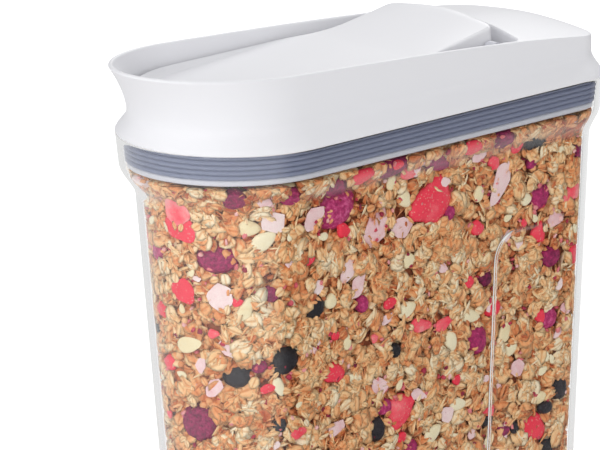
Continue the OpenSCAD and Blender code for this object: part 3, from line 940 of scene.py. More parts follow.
def onWall(local, shape, piece, lift, tilt=0.0):
    # pieces of fruit lifted off the wall, each tilted a little at random
    place, away, _, turn = piece
    basis = wallFrame(away, turn)
    if tilt:
        basis[:, 2] = unit(away + tilt * unitVectors(len(place)))
    return placed(local, *shape, place + away * np.reshape(lift, (-1, 1)), basis)


def scaled(local, size, deep):
    return local * np.column_stack([size / 2, deep])[:, None]


def addGrains(name, shape, tint, material, crease=None):
    # many copies of one small closed shape in one mesh: points (copies, corners, 3), with a flat texture
    # coordinate and one tint for each copy
    points, faces, uv = shape
    points = pressInside(points)
    copies, corners = points.shape[:2]
    index = (faces[None] + np.arange(copies)[:, None, None] * corners).reshape(-1, 3)
    mesh = bpy.data.meshes.new(name)
    mesh.vertices.add(copies * corners)
    mesh.vertices.foreach_set("co", toRow(points.reshape(-1, 3)).astype(np.float32).ravel())
    mesh.loops.add(index.size)
    mesh.loops.foreach_set("vertex_index", index.ravel())
    mesh.polygons.add(len(index))
    mesh.polygons.foreach_set("loop_start", np.arange(0, index.size, 3))
    mesh.polygons.foreach_set("use_smooth", np.ones(len(index), bool))
    layer = mesh.uv_layers.new(name="shapeUV")
    layer.data.foreach_set("uv", np.tile(uv[faces.ravel()], (copies, 1)).astype(np.float32).ravel())
    attribute = mesh.attributes.new("tint", "FLOAT", "POINT")
    attribute.data.foreach_set("value", np.repeat(tint, corners).astype(np.float32))
    mesh.update()
    mesh.validate()
    if crease:
        mesh.set_sharp_from_angle(angle=math.radians(crease))
    mesh.materials.append(material)
    piece = newObject(name, mesh)
    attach(piece, "container")
    print("grains", name, copies, "copies,", len(index), "triangles")


def discShape(sides, inner, high=0.85, under=-0.6):
    # a closed lens: a middle point, a ring at the share inner, the rim, and a middle point underneath
    a = circle(sides)
    c, s = np.cos(a), np.sin(a)
    corners = np.concatenate([[[0, 0, 1.0]], np.column_stack([c * inner, s * inner, np.full(sides, high)]),
                              np.column_stack([c, s, np.zeros(sides)]), [[0, 0, under]]])
    i = 1 + np.arange(sides)
    j = 1 + (i % sides)
    top, low = np.zeros(sides, int), np.full(sides, 2 * sides + 1)
    strips = ((top, i, j), (i, sides + i, sides + j), (i, sides + j, j), (sides + i, low, sides + j))
    return corners, np.concatenate([np.column_stack(strip) for strip in strips])


def ballGrid(rows, cols):
    # a closed ball of unit radius with single points at its two poles, as corners and triangles
    t = np.linspace(0, np.pi, rows + 1)[1:-1]
    tt, aa = np.meshgrid(t, circle(cols), indexing="ij")
    belt = np.stack([np.sin(tt) * np.cos(aa), np.sin(tt) * np.sin(aa), np.cos(tt)], -1).reshape(-1, 3)
    corners = np.concatenate([[[0, 0, 1.0]], belt, [[0, 0, -1.0]]])
    k, i = np.meshgrid(np.arange(rows - 2), np.arange(cols), indexing="ij")
    i, j = (i + 1 + k * cols).ravel(), ((i + 1) % cols + 1 + k * cols).ravel()
    strips = [(i, i + cols, j + cols), (i, j + cols, j)]
    i, j = 1 + np.arange(cols), 1 + (np.arange(cols) + 1) % cols
    last = (rows - 2) * cols
    strips = [(0 * i, i, j), *strips, (last + i, np.full(cols, len(corners) - 1), last + j)]
    return corners, np.concatenate([np.column_stack(strip) for strip in strips])


flake = {
    "sides": 8,
    "crown": 0.6,
    "length": (4.2, 10.0),
    "width": (0.62, 0.9),
    "sliverShare": 0.1,
    "sliverWidth": 0.3,
    "thickness": (0.35, 0.6),
    "ragged": 0.09,
    "cup": (-0.1, 0.12),
    "twist": 0.05,
    "rough": 0.12,
}


def oatFlakes(centre, normal, length):
    # rolled oats: ovals with a ragged rim, cupped along their length, in any turn about their normal
    f, n = flake, len(centre)
    corners, faces = discShape(f["sides"], f["crown"])
    local = np.repeat(corners[None], n, 0)
    local[:, :, :2] *= 1 + rng.normal(0, f["ragged"], (n, len(corners)))[:, :, None]
    sliver = rng.uniform(0, 1, n) < f["sliverShare"]
    width = length * np.where(sliver, f["sliverWidth"], rng.uniform(*f["width"], n))
    local = scaled(local, np.column_stack([length, width]), rng.uniform(*f["thickness"], n))
    cup = rng.uniform(*f["cup"], n)[:, None]
    twist = rng.normal(0, f["twist"], n)[:, None]
    local[:, :, 2] += cup * local[:, :, 0] ** 2 / 2 + twist * local[:, :, 0] * local[:, :, 1]
    local[:, :, 2] += rng.normal(0, f["rough"], (n, len(corners)))
    return placed(local, corners, faces, centre, frameFrom(normal, rng.uniform(0, 2 * np.pi, n)))


berry = {"grid": (20, 30), "bumps": 46, "bumpHeight": 0.26, "bumpWidth": 0.62, "depth": (0.38, 0.45),
         "bend": 0.12, "lift": 0.3}


def berries(piece):
    # drupelets: round bumps at even points of a ball, each bump the nearest point's own half round
    _, _, size, turn = piece
    b, n, count = berry, len(size), berry["bumps"]
    corners, faces = ballGrid(*b["grid"])
    k = np.arange(count) + 0.5
    polar, spin = np.arccos(1 - 2 * k / count), np.pi * (1 + 5 ** 0.5) * k
    seeds = np.stack([np.sin(polar) * np.cos(spin), np.sin(polar) * np.sin(spin), np.cos(polar)], 1)
    near = np.arccos(np.clip(corners @ seeds.T, -1, 1)).min(1) / math.sqrt(4 * math.pi / count / 3)
    bump = np.sqrt(np.maximum(0, 1 - (near * b["bumpWidth"]) ** 2))
    bumpy = corners * (1 - b["bumpHeight"] + b["bumpHeight"] * bump)[:, None]
    deep = size.min(1) * rng.uniform(*b["depth"], n)
    local = scaled(np.repeat(bumpy[None], n, 0), size, deep)
    bend = np.sin(3 * local[:, :, 1] / size[:, 1:] + turn[:, None])
    local[:, :, :2] *= 1 + b["bend"] * bend[:, :, None]
    return onWall(local, (corners, faces), piece, deep + b["lift"])


fruitSlice = {"grid": (12, 24), "taper": (0.1, 0.42), "waves": (0.07, 0.05), "depthShare": 0.3,
              "deepest": 3.0, "lift": 0.2, "tilt": 0.3}


def slices(piece):
    # strawberry slices: wide at the shoulder, drawn to a blunt tip, with a domed face and thin edges
    f, size = fruitSlice, piece[2]
    n, (three, five) = len(size), f["waves"]
    corners, faces = ballGrid(*f["grid"])
    local = np.repeat(corners[None], n, 0)
    local[:, :, 1] *= 1 - rng.uniform(*f["taper"], n)[:, None] * local[:, :, 0]
    angle, phase = np.arctan2(corners[:, 1], corners[:, 0])[None], rng.uniform(0, 6.28, (n, 1))
    wave = three * np.sin(3 * angle + phase) + five * np.sin(5 * angle - 2 * phase)
    local[:, :, :2] *= (1 + wave)[:, :, None]
    deep = np.minimum(size.min(1) * f["depthShare"], f["deepest"])
    return onWall(scaled(local, size, deep), (corners, faces), piece, deep + f["lift"], f["tilt"])


shard = {"sides": 18, "inner": 0.94, "cuts": 6, "cutTurn": 0.36, "cutReach": (0.66, 1.0), "cutLean": 0.05,
         "corner": 1.25, "thickness": 0.5, "curl": 0.05, "lift": 1.5, "tilt": 0.22}


def shards(piece):
    # dried fruit chips: thin plates cut by five or six straight edges, with a slight curl
    s, size = shard, piece[2]
    n, sides, cuts = len(size), s["sides"], s["cuts"]
    corners, faces = discShape(sides, s["inner"], high=1)
    normals = (np.arange(cuts) + rng.uniform(-s["cutTurn"], s["cutTurn"], (n, cuts))) * 2 * np.pi / cuts
    reach = rng.uniform(*s["cutReach"], (n, cuts))
    spoke = np.arange(sides) * 2 * np.pi / sides
    lean = np.cos(spoke[None, :, None] - normals[:, None, :])
    least = s["cutLean"]
    edge = np.where(lean > least, reach[:, None, :] / np.maximum(lean, least), np.inf).min(2)
    cut = np.minimum(edge, s["corner"])[:, np.concatenate([[0], np.tile(np.arange(sides), 2), [0]])]
    local = np.repeat(corners[None], n, 0)
    local[:, :, :2] *= cut[:, :, None]
    local = scaled(local, size, np.full(n, s["thickness"]))
    local[:, :, 2] += rng.uniform(-s["curl"], s["curl"], (n, 1)) * local[:, :, 0] ** 2
    return onWall(local, (corners, faces), piece, s["lift"], s["tilt"])


nut = {"grid": (10, 16), "taper": 0.3, "depthShare": 0.3, "deepest": 1.8, "lift": 0.3, "tilt": 0.35}


def nuts(piece):
    # slivered nuts: smooth flat ovals with one end a little narrower
    size = piece[2]
    corners, faces = ballGrid(*nut["grid"])
    local = np.repeat(corners[None], len(size), 0)
    local[:, :, 1] *= 1 - nut["taper"] * local[:, :, 0]
    deep = np.minimum(size.min(1) * nut["depthShare"], nut["deepest"])
    return onWall(scaled(local, size, deep), (corners, faces), piece, deep + nut["lift"], nut["tilt"])


# Fruit and nuts that lie against the near wall, listed one by one: x, z, length, height and turn in degrees.
# The same kinds are strewn at random over all walls and the top.
fruit = {
    "berryRed": [
        (77, -33.5, 26, 22, 15), (202, -51.5, 16, 16, -20), (211, -81, 13, 10, 10), (20, -49, 19, 14, 0),
        (93, -79, 7, 8, 0), (166, -110, 13, 16, 15), (20.3, -123.5, 20, 19, -20), (210.5, -109, 13, 11, 0),
        (169, -82, 8, 9, 30), (46, -21.5, 11, 8, 0), (72, -22, 15, 9, 0), (105, -19, 20, 8, 10),
        (134, -22.5, 18, 8, -15), (173, -19, 15, 8, 0)],
    "berryBlack": [
        (65, -75, 12, 12, 0), (49, -96, 14, 12, 30), (29, -101, 13, 11, 0), (105, -138, 10, 12, 0),
        (220, -143, 10, 12, 0), (211, -150, 9, 6, 0), (114, -104, 6, 7, 0)],
    "strawberry": [
        (133, -41, 26, 19, 202), (222, -53, 8, 13, -60), (5.2, -28, 14, 12, -20), (10.7, -35, 16, 12, -20),
        (8.8, -63, 11, 13, 80), (59, -52, 6, 4, 0), (109, -81, 8, 5, 10), (129, -95, 13, 6, -10),
        (143, -97, 11, 5, 20), (76, -89, 5, 4, 0), (100, -95, 4, 4, 0), (77, -106, 14, 9, -15),
        (40, -106, 7, 4, 10), (119, -131, 19, 14, 30), (205, -158, 16, 12, -30), (205, -106, 6, 7, 40),
        (56, -128, 9, 6, 0), (21.5, -81, 5, 4, 0), (27, -66.5, 5, 4, 0), (158, -81, 5, 6, 20),
        (86, -19, 13, 6, 10), (117, -24, 10, 6, -20), (153, -18.5, 12, 6, 0), (184, -24, 8, 6, 30)],
    "shard": [
        (39, -32, 14, 12, 10), (60, -34, 17, 9, 30), (98, -45, 25, 14, 66), (115, -48, 14, 12, -20),
        (174.5, -39.5, 26, 10, 66), (212, -62, 14, 10, 25), (22, -64, 13, 12, 0), (82, -61, 14, 9, 65),
        (89, -69, 12, 8, 65), (65, -65, 8, 7, 40), (107, -88, 14, 5, 5), (103, -117, 11, 9, -30),
        (147, -139, 10, 9, 0), (20, -96, 8, 6, 80), (33, -22, 9, 6, -30), (121, -23, 9, 5, 75),
        (160, -24, 12, 6, 15), (192, -128, 9, 9, 40), (79, -131, 13, 7, 15), (23, -106, 10, 8, 30),
        (128, -126, 12, 5, -25)],
    "nut": [
        (116, -36, 9, 7, -50), (162, -42, 8, 6, 80), (192, -50, 7, 6, 0), (120, -64, 8, 7, 0),
        (73, -73, 7, 6, 80), (30, -70, 12, 6, 70), (16, -87, 13, 7, 15), (120, -86, 11, 7, 15),
        (148, -106, 10, 7, -70), (83, -93, 8, 5, 90), (45, -106, 9, 5, -70), (154, -136, 10, 6, -10),
        (139, -146, 11, 7, 30), (207, -144, 8, 6, 0), (184, -109, 11, 7, 75), (188, -118, 8, 6, 20),
        (107, -26, 9, 5, 80), (35.5, -40, 12, 8, 30), (29.5, -34, 10, 7, -5), (160, -97, 12, 6, -15)],
}

# For each kind: how many more are strewn, their size and how flat they lie, how deep the flakes stay clear
# of them, and their look. Colours run along each piece's tint.
kinds = {
    "berryRed": {
        "make": berries, "count": 26, "size": (9, 16), "flat": 0.85, "clear": 4.5,
        "look": {"roughness": 0.55, "cloud": 620, "spread": 0.75, "bumpScale": 900, "bump": 0.0009,
                 "stops": [(0.0, (0.1, 0.005, 0.035)), (0.35, (0.28, 0.011, 0.085)),
                           (0.7, (0.5, 0.026, 0.15)), (1.0, (0.7, 0.12, 0.3))]}},
    "berryBlack": {
        "make": berries, "count": 20, "size": (8, 12), "flat": 0.85, "clear": 4.5,
        "look": {"roughness": 0.45, "cloud": 700, "spread": 0.7, "bumpScale": 900, "bump": 0.0007,
                 "stops": [(0.0, (0.012, 0.011, 0.014)), (0.8, (0.032, 0.027, 0.035)),
                           (1.0, (0.13, 0.1, 0.11))]}},
    "strawberry": {
        "make": slices, "count": 46, "size": (6, 18), "flat": 0.85, "clear": 4.0,
        "look": {"roughness": 0.4, "cloud": 110, "spread": 0.55, "bumpScale": 700, "bump": 0.0005,
                 "stops": [(0.0, (0.88, 0.026, 0.06)), (0.5, (0.96, 0.055, 0.1)), (0.72, (1.0, 0.17, 0.2)),
                           (1.0, (1.0, 0.52, 0.48))],
                 "seeds": {"scale": 640, "span": (0.156, 0.26), "color": (0.88, 0.3, 0.26)}}},
    "shard": {
        "make": shards, "count": 60, "size": (7, 16), "flat": 0.65, "clear": 2.4, "crease": 35,
        "look": {"roughness": 0.6, "cloud": 240, "spread": 0.6, "bumpScale": 600, "bump": 0.0005,
                 "stops": [(0.0, (0.97, 0.8, 0.77)), (0.5, (0.92, 0.66, 0.66)), (1.0, (0.82, 0.44, 0.46))]}},
    "nut": {
        "make": nuts, "count": 70, "size": (6, 10), "flat": 0.62, "clear": 3.2,
        "look": {"roughness": 0.42, "cloud": 260, "spread": 0.45, "bumpScale": 500, "bump": 0.0003,
                 "stops": [(0.0, (0.94, 0.86, 0.62)), (0.7, (0.9, 0.77, 0.48)), (1.0, (0.8, 0.56, 0.28))]}},
}
strew = {
    "tries": 3,
    "topGap": 8,
    "lowGap": 14,
    "farFrom": (30, -12),
    "below": -160,
    "behind": 228,
    "nearShare": 0.34,
    "nearSize": 0.6,
    "apart": 9.0,
    "topShare": 0.25,
    "topAway": (0.14, 0.1, -0.985),
    "tint": (0.1, 0.75),
}


def nearWall(x, z):
    # the point of the near inner wall at x and z
    d = -z
    front, w, rear, nose, r = bodyShape(d)
    e = container["wall"]
    u = np.clip((nose - x) / (nose - front - e), 0, 0.98)
    y = -(w - e - gripStep(x, d)) * np.where(x < nose, np.sqrt(1 - u * u), 1.0)
    tail = np.clip((x - (rear - r)) / (r - e), 0, 0.95)
    y += (r - e) * (1 - np.sqrt(1 - tail * tail))
    p = np.column_stack([x, y, z])
    return p, wallReach(p)[1]


def placeFruit():
    # for each kind the places of its pieces, the directions away from the wall, the sizes and the turns:
    # those listed, then on the hidden walls, smaller on the near wall where it is free, and on top
    s = strew
    byHand = {kind: np.array(rows, float) for kind, rows in fruit.items()}
    taken = np.concatenate([nearWall(hand[:, 0], hand[:, 1])[0] for hand in byHand.values()])
    pieces = {}
    for kind, hand in byHand.items():
        n, (low, high), flat = (kinds[kind][key] for key in ("count", "size", "flat"))
        p, away = wallPoints(n * s["tries"], s["topGap"], s["lowGap"])
        far = (p[:, 0] > s["farFrom"][0]) & (p[:, 1] > s["farFrom"][1])
        hidden = far | (p[:, 2] < s["below"]) | (p[:, 0] > s["behind"])
        free = ~hidden & (np.linalg.norm(p[:, None] - taken, axis=2).min(1) > s["apart"])
        hidden, free = np.nonzero(hidden)[0][:n], np.nonzero(free)[0][: round(n * s["nearShare"])]
        size = [rng.uniform(low, high, len(hidden)), rng.uniform(low, high, len(free)) * s["nearSize"]]
        top = topPoints(round(n * s["topShare"]))
        size = np.concatenate([*size, rng.uniform(low, high, len(top))])
        strewn = [(p[i], away[i]) for i in (hidden, free)]
        strewn.append((top, np.tile(s["topAway"], (len(top), 1))))
        place, away = joined([nearWall(hand[:, 0], hand[:, 1]), *strewn])
        turn = np.radians(np.concatenate([hand[:, 4], rng.uniform(0, 180, len(size))]))
        size = np.concatenate([hand[:, 2:4], np.column_stack([size, size * flat])])
        pieces[kind] = (place, away, size, turn)
    return pieces


# a flake's darker middle line, painted shade in its crease, and its paler rim, a painted highlight of the
# light through its thin edge, as shares of its width
flakeMarks = {
    "crease": 0.7,
    "creaseSpan": (0.01, 0.13),
    "creaseShadeColor": (0.72, 0.46, 0.26),
    "rim": 0.4,
    "rimSpan": (0.3, 0.52),
    "rimHighlightColor": (1.0, 0.74, 0.38),
}


def grainMaterial(name, stops, roughness, cloud, spread, bumpScale, bump, marks=None, seeds=None):
    # colour by each copy's tint, clouded by noise, with a flake's marks, painted shade along its middle line
    # and a painted highlight round its rim, or a strawberry's seeds
    material, tree, shader = newMaterial(name, stops[0][1], roughness, Specular_IOR_Level=0.3)
    tint = addNode(tree, "Attribute", {}, attribute_name="tint").outputs["Fac"]
    clouds = rangeNode(tree, noiseNode(tree, cloud, roughness=0.6), -spread, spread)
    color = colorRamp(tree, mathNode(tree, "ADD", tint, clouds), stops)
    height = noiseNode(tree, bumpScale, roughness=0.6)
    if marks:
        uv = addNode(tree, "UVMap", {}, uv_map="shapeUV").outputs[0]
        across = addNode(tree, "SeparateXYZ", {0: uv}).outputs["Y"]
        off = mathNode(tree, "ABSOLUTE", mathNode(tree, "SUBTRACT", across, 0.5))
        # painted shade along the middle line, where the bump below also dips the flake into a crease
        line = rangeNode(tree, off, marks["crease"], 0.0, marks["creaseSpan"], "SMOOTHSTEP")
        color = mixColor(tree, line, color, marks["creaseShadeColor"], "MULTIPLY")
        # a painted highlight round the rim, for the light through the flake's thin edge
        out = addNode(tree, "VectorMath", {0: uv, 1: (0.5, 0.5, 0)}, operation="DISTANCE").outputs["Value"]
        rim = rangeNode(tree, out, 0.0, marks["rim"], marks["rimSpan"], "SMOOTHSTEP")
        color = mixColor(tree, rim, color, marks["rimHighlightColor"])
        height = mathNode(tree, "SUBTRACT", height, line)
    if seeds:
        dots = addNode(tree, "TexVoronoi", {"Scale": seeds["scale"], "Vector": objectPlace(tree)})
        dot = rangeNode(tree, dots.outputs["Distance"], 1.0, 0.0, seeds["span"])
        color = mixColor(tree, dot, color, seeds["color"])
    tree.links.new(color, shader.inputs["Base Color"])
    bumpFrom(tree, shader, height, strength=0.6, distance=bump)
    return material


lump = {
    "count": 3600,
    "topCount": 620,
    "radius": (2.4, 5.6),
    "sink": (0.75, 1.15),
    "lift": 0.5,
    "topSink": 0.8,
    "fruitShare": 0.42,
    "cover": 0.62,
    "flakes": 7,
    "outward": 0.75,
    "reach": (0.72, 1.02),
    "tilt": 0.6,
    "looseShare": 0.3,
    "toast": (1.3, 1.8),
    "toastShare": 0.75,
    "ownToast": (1.6, 2.2),
    "ownShare": 0.6,
    "paler": 0.17,
    # painted shade: how much darker the lumps right under the rim are, for the shadow of the collar, and down
    # to what depth
    "rimShade": 0.6,
    "rimDepth": 9.0,
}


def besideFruit(points, radius, pieces):
    # the lumps that don't hide a piece of fruit
    keep = np.ones(len(points), bool)
    for place, _, size, _ in pieces.values():
        gap = np.linalg.norm(points[:, None] - place[None], axis=2)
        gap -= size.mean(1)[None] * lump["fruitShare"]
        keep &= (gap > radius[:, None] * lump["cover"]).all(1)
    return keep


def lumpFlakes(pieces):
    # flakes over the outer side of lumps, which lie against the wall and on top of the heap
    p, away = wallPoints(lump["count"])
    radius = rng.uniform(*lump["radius"], len(p))
    keep = besideFruit(p, radius, pieces)
    p, away, radius = p[keep], away[keep], radius[keep]
    centre = p + away * (radius * rng.uniform(*lump["sink"], len(p)) + lump["lift"])[:, None]
    top = topPoints(lump["topCount"])
    topRadius = rng.uniform(*lump["radius"], len(top))
    keep = besideFruit(top, topRadius, pieces)
    top, topRadius = top[keep], topRadius[keep]
    top[:, 2] -= topRadius * lump["topSink"]
    up = np.tile([0.0, 0.0, 1.0], (len(top), 1))
    lumps = joined([(centre, radius, -away), (top, topRadius, up)])
    centre, radius, face = (np.repeat(v, lump["flakes"], 0) for v in lumps)
    n = len(centre)
    toward = unit(unitVectors(n) + lump["outward"] * face)
    place = centre + toward * (radius * rng.uniform(*lump["reach"], n))[:, None]
    normal = toward + lump["tilt"] * unitVectors(n)
    loose = rng.uniform(0, 1, n) < lump["looseShare"]
    normal[loose] = unitVectors(loose.sum())
    length = rng.uniform(*flake["length"], n)
    # flakes take their tint from their lump, and some of their own; the lumps right under the rim are darker,
    # painted shade for the shadow of the collar above them
    dark = np.zeros(len(lumps[0]))
    dark[: len(p)] = lump["rimShade"] * (p[:, 2] > -fill["topDepth"] - lump["rimDepth"])
    toast = np.repeat(rng.beta(*lump["toast"], len(dark)) + dark, lump["flakes"])
    own = rng.beta(*lump["ownToast"], n)
    tint = toast * lump["toastShare"] + own * lump["ownShare"] - lump["paler"]
    return place, normal, length, np.clip(tint, 0, 1)


behind = {"count": 11000, "topCount": 900, "depth": (2.6, 5.2), "tilt": 0.75, "toast": (2.4, 2.0)}


def backFlakes():
    # a looser layer of single flakes behind the lumps
    onTop = np.tile([0, 0, -1.0], (behind["topCount"], 1))
    p, away = joined([wallPoints(behind["count"]), (topPoints(behind["topCount"]), onTop)])
    n = len(p)
    place = p + away * rng.uniform(*behind["depth"], n)[:, None]
    normal = -away + behind["tilt"] * unitVectors(n)
    return place, normal, rng.uniform(*flake["length"], n), rng.beta(*behind["toast"], n)


def clearOfFruit(place, pieces, margin=0.6):
    # single flakes stay off the faces of the fruit
    keep = np.ones(len(place), bool)
    for kind, (p, away, size, turn) in pieces.items():
        for spot, axes, half in zip(p, wallFrame(away, turn), size / 2 + margin):
            off = (place - spot) @ axes.T
            over = np.hypot(off[:, 0] / half[0], off[:, 1] / half[1]) < 1
            keep &= ~(over & (off[:, 2] < kinds[kind]["clear"]))
    return keep


edging = {"flakes": 4, "smallest": 5, "sure": 17, "ring": 0.55, "lift": (0.8, 1.5), "tilt": 0.5,
          "length": (3.4, 6.4), "toast": (1.4, 2.2)}


def edgeFlakes(place, away, size, turn):
    # a few flakes over the edges of the fruit, the more the larger it is
    e = edging
    share = (size.mean(1) - e["smallest"]) / (e["sure"] - e["smallest"])
    i = np.nonzero(rng.uniform(0, 1, (e["flakes"], len(place))) < share)[1]
    spin = rng.uniform(0, 2 * np.pi, len(i))
    across = np.column_stack([np.cos(spin) * size[i, 0], np.sin(spin) * size[i, 1]]) * e["ring"]
    basis = wallFrame(away[i], turn[i])
    spot = place[i] + basis[:, 0] * across[:, :1] + basis[:, 1] * across[:, 1:]
    spot += away[i] * rng.uniform(*e["lift"], len(i))[:, None]
    normal = -away[i] + e["tilt"] * unitVectors(len(i))
    return spot, normal, rng.uniform(*e["length"], len(i)), rng.beta(*e["toast"], len(i))


oatLook = {
    "roughness": 0.5, "cloud": 520, "spread": 0.26, "bumpScale": 1500, "bump": 0.0004,
    "stops": [(0.0, (1.0, 0.86, 0.61)), (0.3, (1.0, 0.65, 0.33)), (0.65, (0.93, 0.385, 0.145)),
              (1.0, (0.55, 0.11, 0.032))]}
oatPieces = 8


def addOats(pieces):
    # all flakes, in a random order, shared out over pieces of a moderate size
    flakes = joined([lumpFlakes(pieces), backFlakes()])
    keep = clearOfFruit(flakes[0], pieces)
    flakes = joined([[column[keep] for column in flakes], *(edgeFlakes(*piece) for piece in pieces.values())])
    points, faces, uv = oatFlakes(*flakes[:3])
    order = rng.permutation(len(points))
    material = grainMaterial("toastedOats", marks=flakeMarks, **oatLook)
    share = math.ceil(len(points) / oatPieces)
    for i in range(oatPieces):
        part = order[i * share : (i + 1) * share]
        addGrains(f"oatFlakes{i + 1}", (points[part], faces, uv), flakes[3][part], material)


crumbLook = {"roughness": 0.5, "cloud": 500, "spread": 0.2, "bumpScale": 1500, "bump": 0.0004}
crumbShape = {"grid": (4, 6), "ragged": (0.75, 1.25)}
crumbs = {
    "oatCrumbs": {"count": 4200, "half": (0.8, 2.1), "depth": (1.8, 4.8),
                  "stops": [(0.0, (0.97, 0.6, 0.3)), (0.6, (0.84, 0.34, 0.13)), (1.0, (0.5, 0.12, 0.035))]},
    "fruitCrumbs": {"count": 1500, "half": (0.5, 1.6), "depth": (0.9, 3.4),
                    "stops": [(0.0, (0.2, 0.012, 0.04)), (0.35, (0.6, 0.04, 0.08)),
                              (0.7, (0.85, 0.25, 0.26)), (1.0, (0.93, 0.6, 0.56))]},
}


def addCrumbs():
    # crumbs between the flakes, of oats and of fruit
    corners, faces = ballGrid(*crumbShape["grid"])
    for name, crumb in crumbs.items():
        n = crumb["count"]
        p, away = wallPoints(n)
        local = corners[None] * rng.uniform(*crumbShape["ragged"], (n, len(corners), 1))
        local *= rng.uniform(*crumb["half"], (n, 1, 3))
        spot = p + away * rng.uniform(*crumb["depth"], n)[:, None]
        shape = placed(local, corners, faces, spot, frameFrom(unitVectors(n), np.zeros(n)))
        material = grainMaterial(name, crumb["stops"], **crumbLook)
        addGrains(name, shape, rng.uniform(0, 1, n), material)


def addFruit(pieces):
    for kind, piece in pieces.items():
        shape = kinds[kind]["make"](piece)
        material = grainMaterial(kind + "Skin", **kinds[kind]["look"])
        tint = rng.uniform(*strew["tint"], len(piece[0]))
        addGrains(kind + "Pieces", shape, tint, material, kinds[kind].get("crease"))


core = {
    "depth": 5.0,
    "topGap": 3.5,
    "lowGap": 0.5,
    "rings": 60,
    "lumps": 0.9,
    "coarse": 0.7,
    "fine": 0.5,
    "waves": ((37, 1.9), (11, 1.3), (61, -2.3)),
    # the core's dark brown is painted shade: it stands in for the shadow in the gaps between the flakes
    "look": {"roughness": 0.7, "cloud": 300, "spread": 0.4, "bumpScale": 700, "bump": 0.001,
             "stops": [(0.0, (0.4, 0.12, 0.045)), (1.0, (0.15, 0.035, 0.014))]},
}


def coreSkin():
    # the mass behind the outer flakes: the container's own shape, drawn in and lumpy, dark brown as painted
    # shade for the gaps between the flakes
    low = container["height"] - container["floor"] - core["lowGap"]
    rings = []
    # the waves shift from ring to ring, so that they make lumps and not ridges
    for i, d in enumerate(np.linspace(fill["topDepth"] + core["topGap"], low, core["rings"])):
        ring = bodyRing(d, container["wall"] + core["depth"])
        s = np.arange(len(ring)) / len(ring) * 2 * np.pi
        one, two, three = (np.sin(count * s + shift * i) for count, shift in core["waves"])
        lumpy = core["coarse"] * one * two + core["fine"] * three
        rings.append(ring + wallReach(ring)[1] * lumpy[:, None] * core["lumps"])
    return skin(rings[::-1])


if fill["shown"]:
    addPiece("oatCore", [coreSkin()], grainMaterial("oatMassPaintedShade", **core["look"]), "container", crease=80)
    placedFruit = placeFruit()
    addOats(placedFruit)
    addCrumbs()
    addFruit(placedFruit)

# ---- stage, light and camera ----

stage = {
    "floorSize": 30.0,
    "floorShade": 0.8,
    "floorGlow": 0.5,
    "worldLevel": 0.635,
    "roomLevel": 0.26,
    "clothEdges": [((-0.5, -0.866, 0), -0.04, 0.06), ((1, 0, 0), -0.12, 0.04)],
    "clothShade": 0.05,
    "lampTarget": (0, 0, 0.16),
}


def rayIs(tree, first, *others):
    # 1 for rays of any of the kinds named, and 0 for the rest
    path = addNode(tree, "LightPath", {})
    value = path.outputs[first]
    for other in others:
        value = mathNode(tree, "MAXIMUM", value, path.outputs[other])
    return value


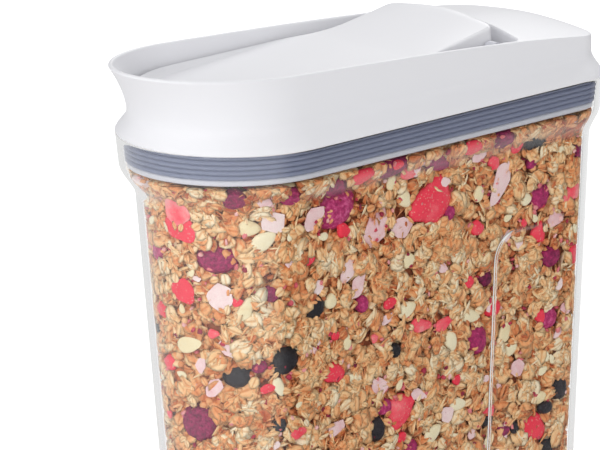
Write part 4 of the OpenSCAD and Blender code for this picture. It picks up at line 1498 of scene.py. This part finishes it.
def addFloor():
    mesh = bpy.data.meshes.new("floor")
    s = stage["floorSize"] / 2
    mesh.from_pydata([(-s, -s, 0), (s, -s, 0), (s, s, 0), (-s, s, 0)], [], [(0, 1, 2, 3)])
    pale = stage["floorShade"]
    material, tree, shader = newMaterial("paleFloor", (pale, pale, pale), roughness=0.9,
                                         Specular_IOR_Level=0.0)
    glow = mathNode(tree, "MULTIPLY", rayIs(tree, "Is Camera Ray", "Is Transmission Ray"), stage["floorGlow"])
    shader.inputs["Emission Color"].default_value = (1, 1, 1, 1)
    tree.links.new(glow, shader.inputs["Emission Strength"])
    # reflections find a dark cloth on the floor beside the object, which keeps the clear wall free of haze
    place, cloth = objectPlace(tree), rayIs(tree, "Is Glossy Ray")
    for away, *span in stage["clothEdges"]:
        along = addNode(tree, "VectorMath", {0: place, 1: away}, operation="DOT_PRODUCT").outputs["Value"]
        edge = rangeNode(tree, along, 0.0, 1.0, span, "SMOOTHSTEP")
        cloth = mathNode(tree, "MULTIPLY", cloth, edge)
    tree.links.new(rangeNode(tree, cloth, pale, stage["clothShade"]), shader.inputs["Base Color"])
    mesh.materials.append(material)
    floor = newObject("floor", mesh)


def addWorld():
    # a white room: dimmer for the light that it gives and in reflections than for the camera
    world = bpy.data.worlds.new("studio")
    bpy.context.scene.world = world
    world.use_nodes = True
    tree = world.node_tree
    background = tree.nodes["Background"]
    background.inputs["Color"].default_value = (1, 1, 1, 1)
    levels = {"Factor": rayIs(tree, "Is Glossy Ray"), "A": stage["worldLevel"], "B": stage["roomLevel"]}
    lit = addNode(tree, "Mix", levels).outputs["Result"]
    seen = rayIs(tree, "Is Camera Ray", "Is Transmission Ray")
    level = addNode(tree, "Mix", {"Factor": seen, "A": lit, "B": 1.0}).outputs["Result"]
    tree.links.new(level, background.inputs["Strength"])


def aim(thing, place, target):
    thing.location = place
    thing.rotation_euler = (Vector(target) - Vector(place)).to_track_quat("-Z", "Y").to_euler()


def addLamp(name, place, size, power):
    lamp = bpy.data.lights.new(name, "AREA")
    lamp.shape = "RECTANGLE"
    lamp.size, lamp.size_y = size
    lamp.energy = power
    aim(newObject(name, lamp), place, stage["lampTarget"])


lamps = {
    "frontLight": {"place": (-1.3, -0.75, 0.7), "size": (0.7, 0.9), "power": 7.7},
    "leftLight": {"place": (-1.7, 0.3, 0.8), "size": (0.7, 0.9), "power": 4.1},
    "rearLight": {"place": (1.5, 0.9, 1.3), "size": (0.8, 0.8), "power": 15.8},
    "sideLight": {"place": (-0.3, -1.5, 0.5), "size": (0.9, 0.7), "power": 1.05},
}
addFloor()
addWorld()
for lampName, lampValues in lamps.items():
    addLamp(lampName, **lampValues)

view = {"place": (-2.12075, -2.1056, 0.9511), "target": (-0.02506, 0.0, 0.15508), "lens": 430.1,
        "sensor": 36, "clipEnd": 100}
camera = bpy.data.cameras.new("camera")
camera.sensor_width = view["sensor"]
camera.lens = view["lens"]
camera.clip_end = view["clipEnd"]
cameraHolder = newObject("camera", camera)
aim(cameraHolder, view["place"], view["target"])
bpy.context.scene.camera = cameraHolder
bpy.context.scene.view_settings.view_transform = "Standard"
print("stage set")
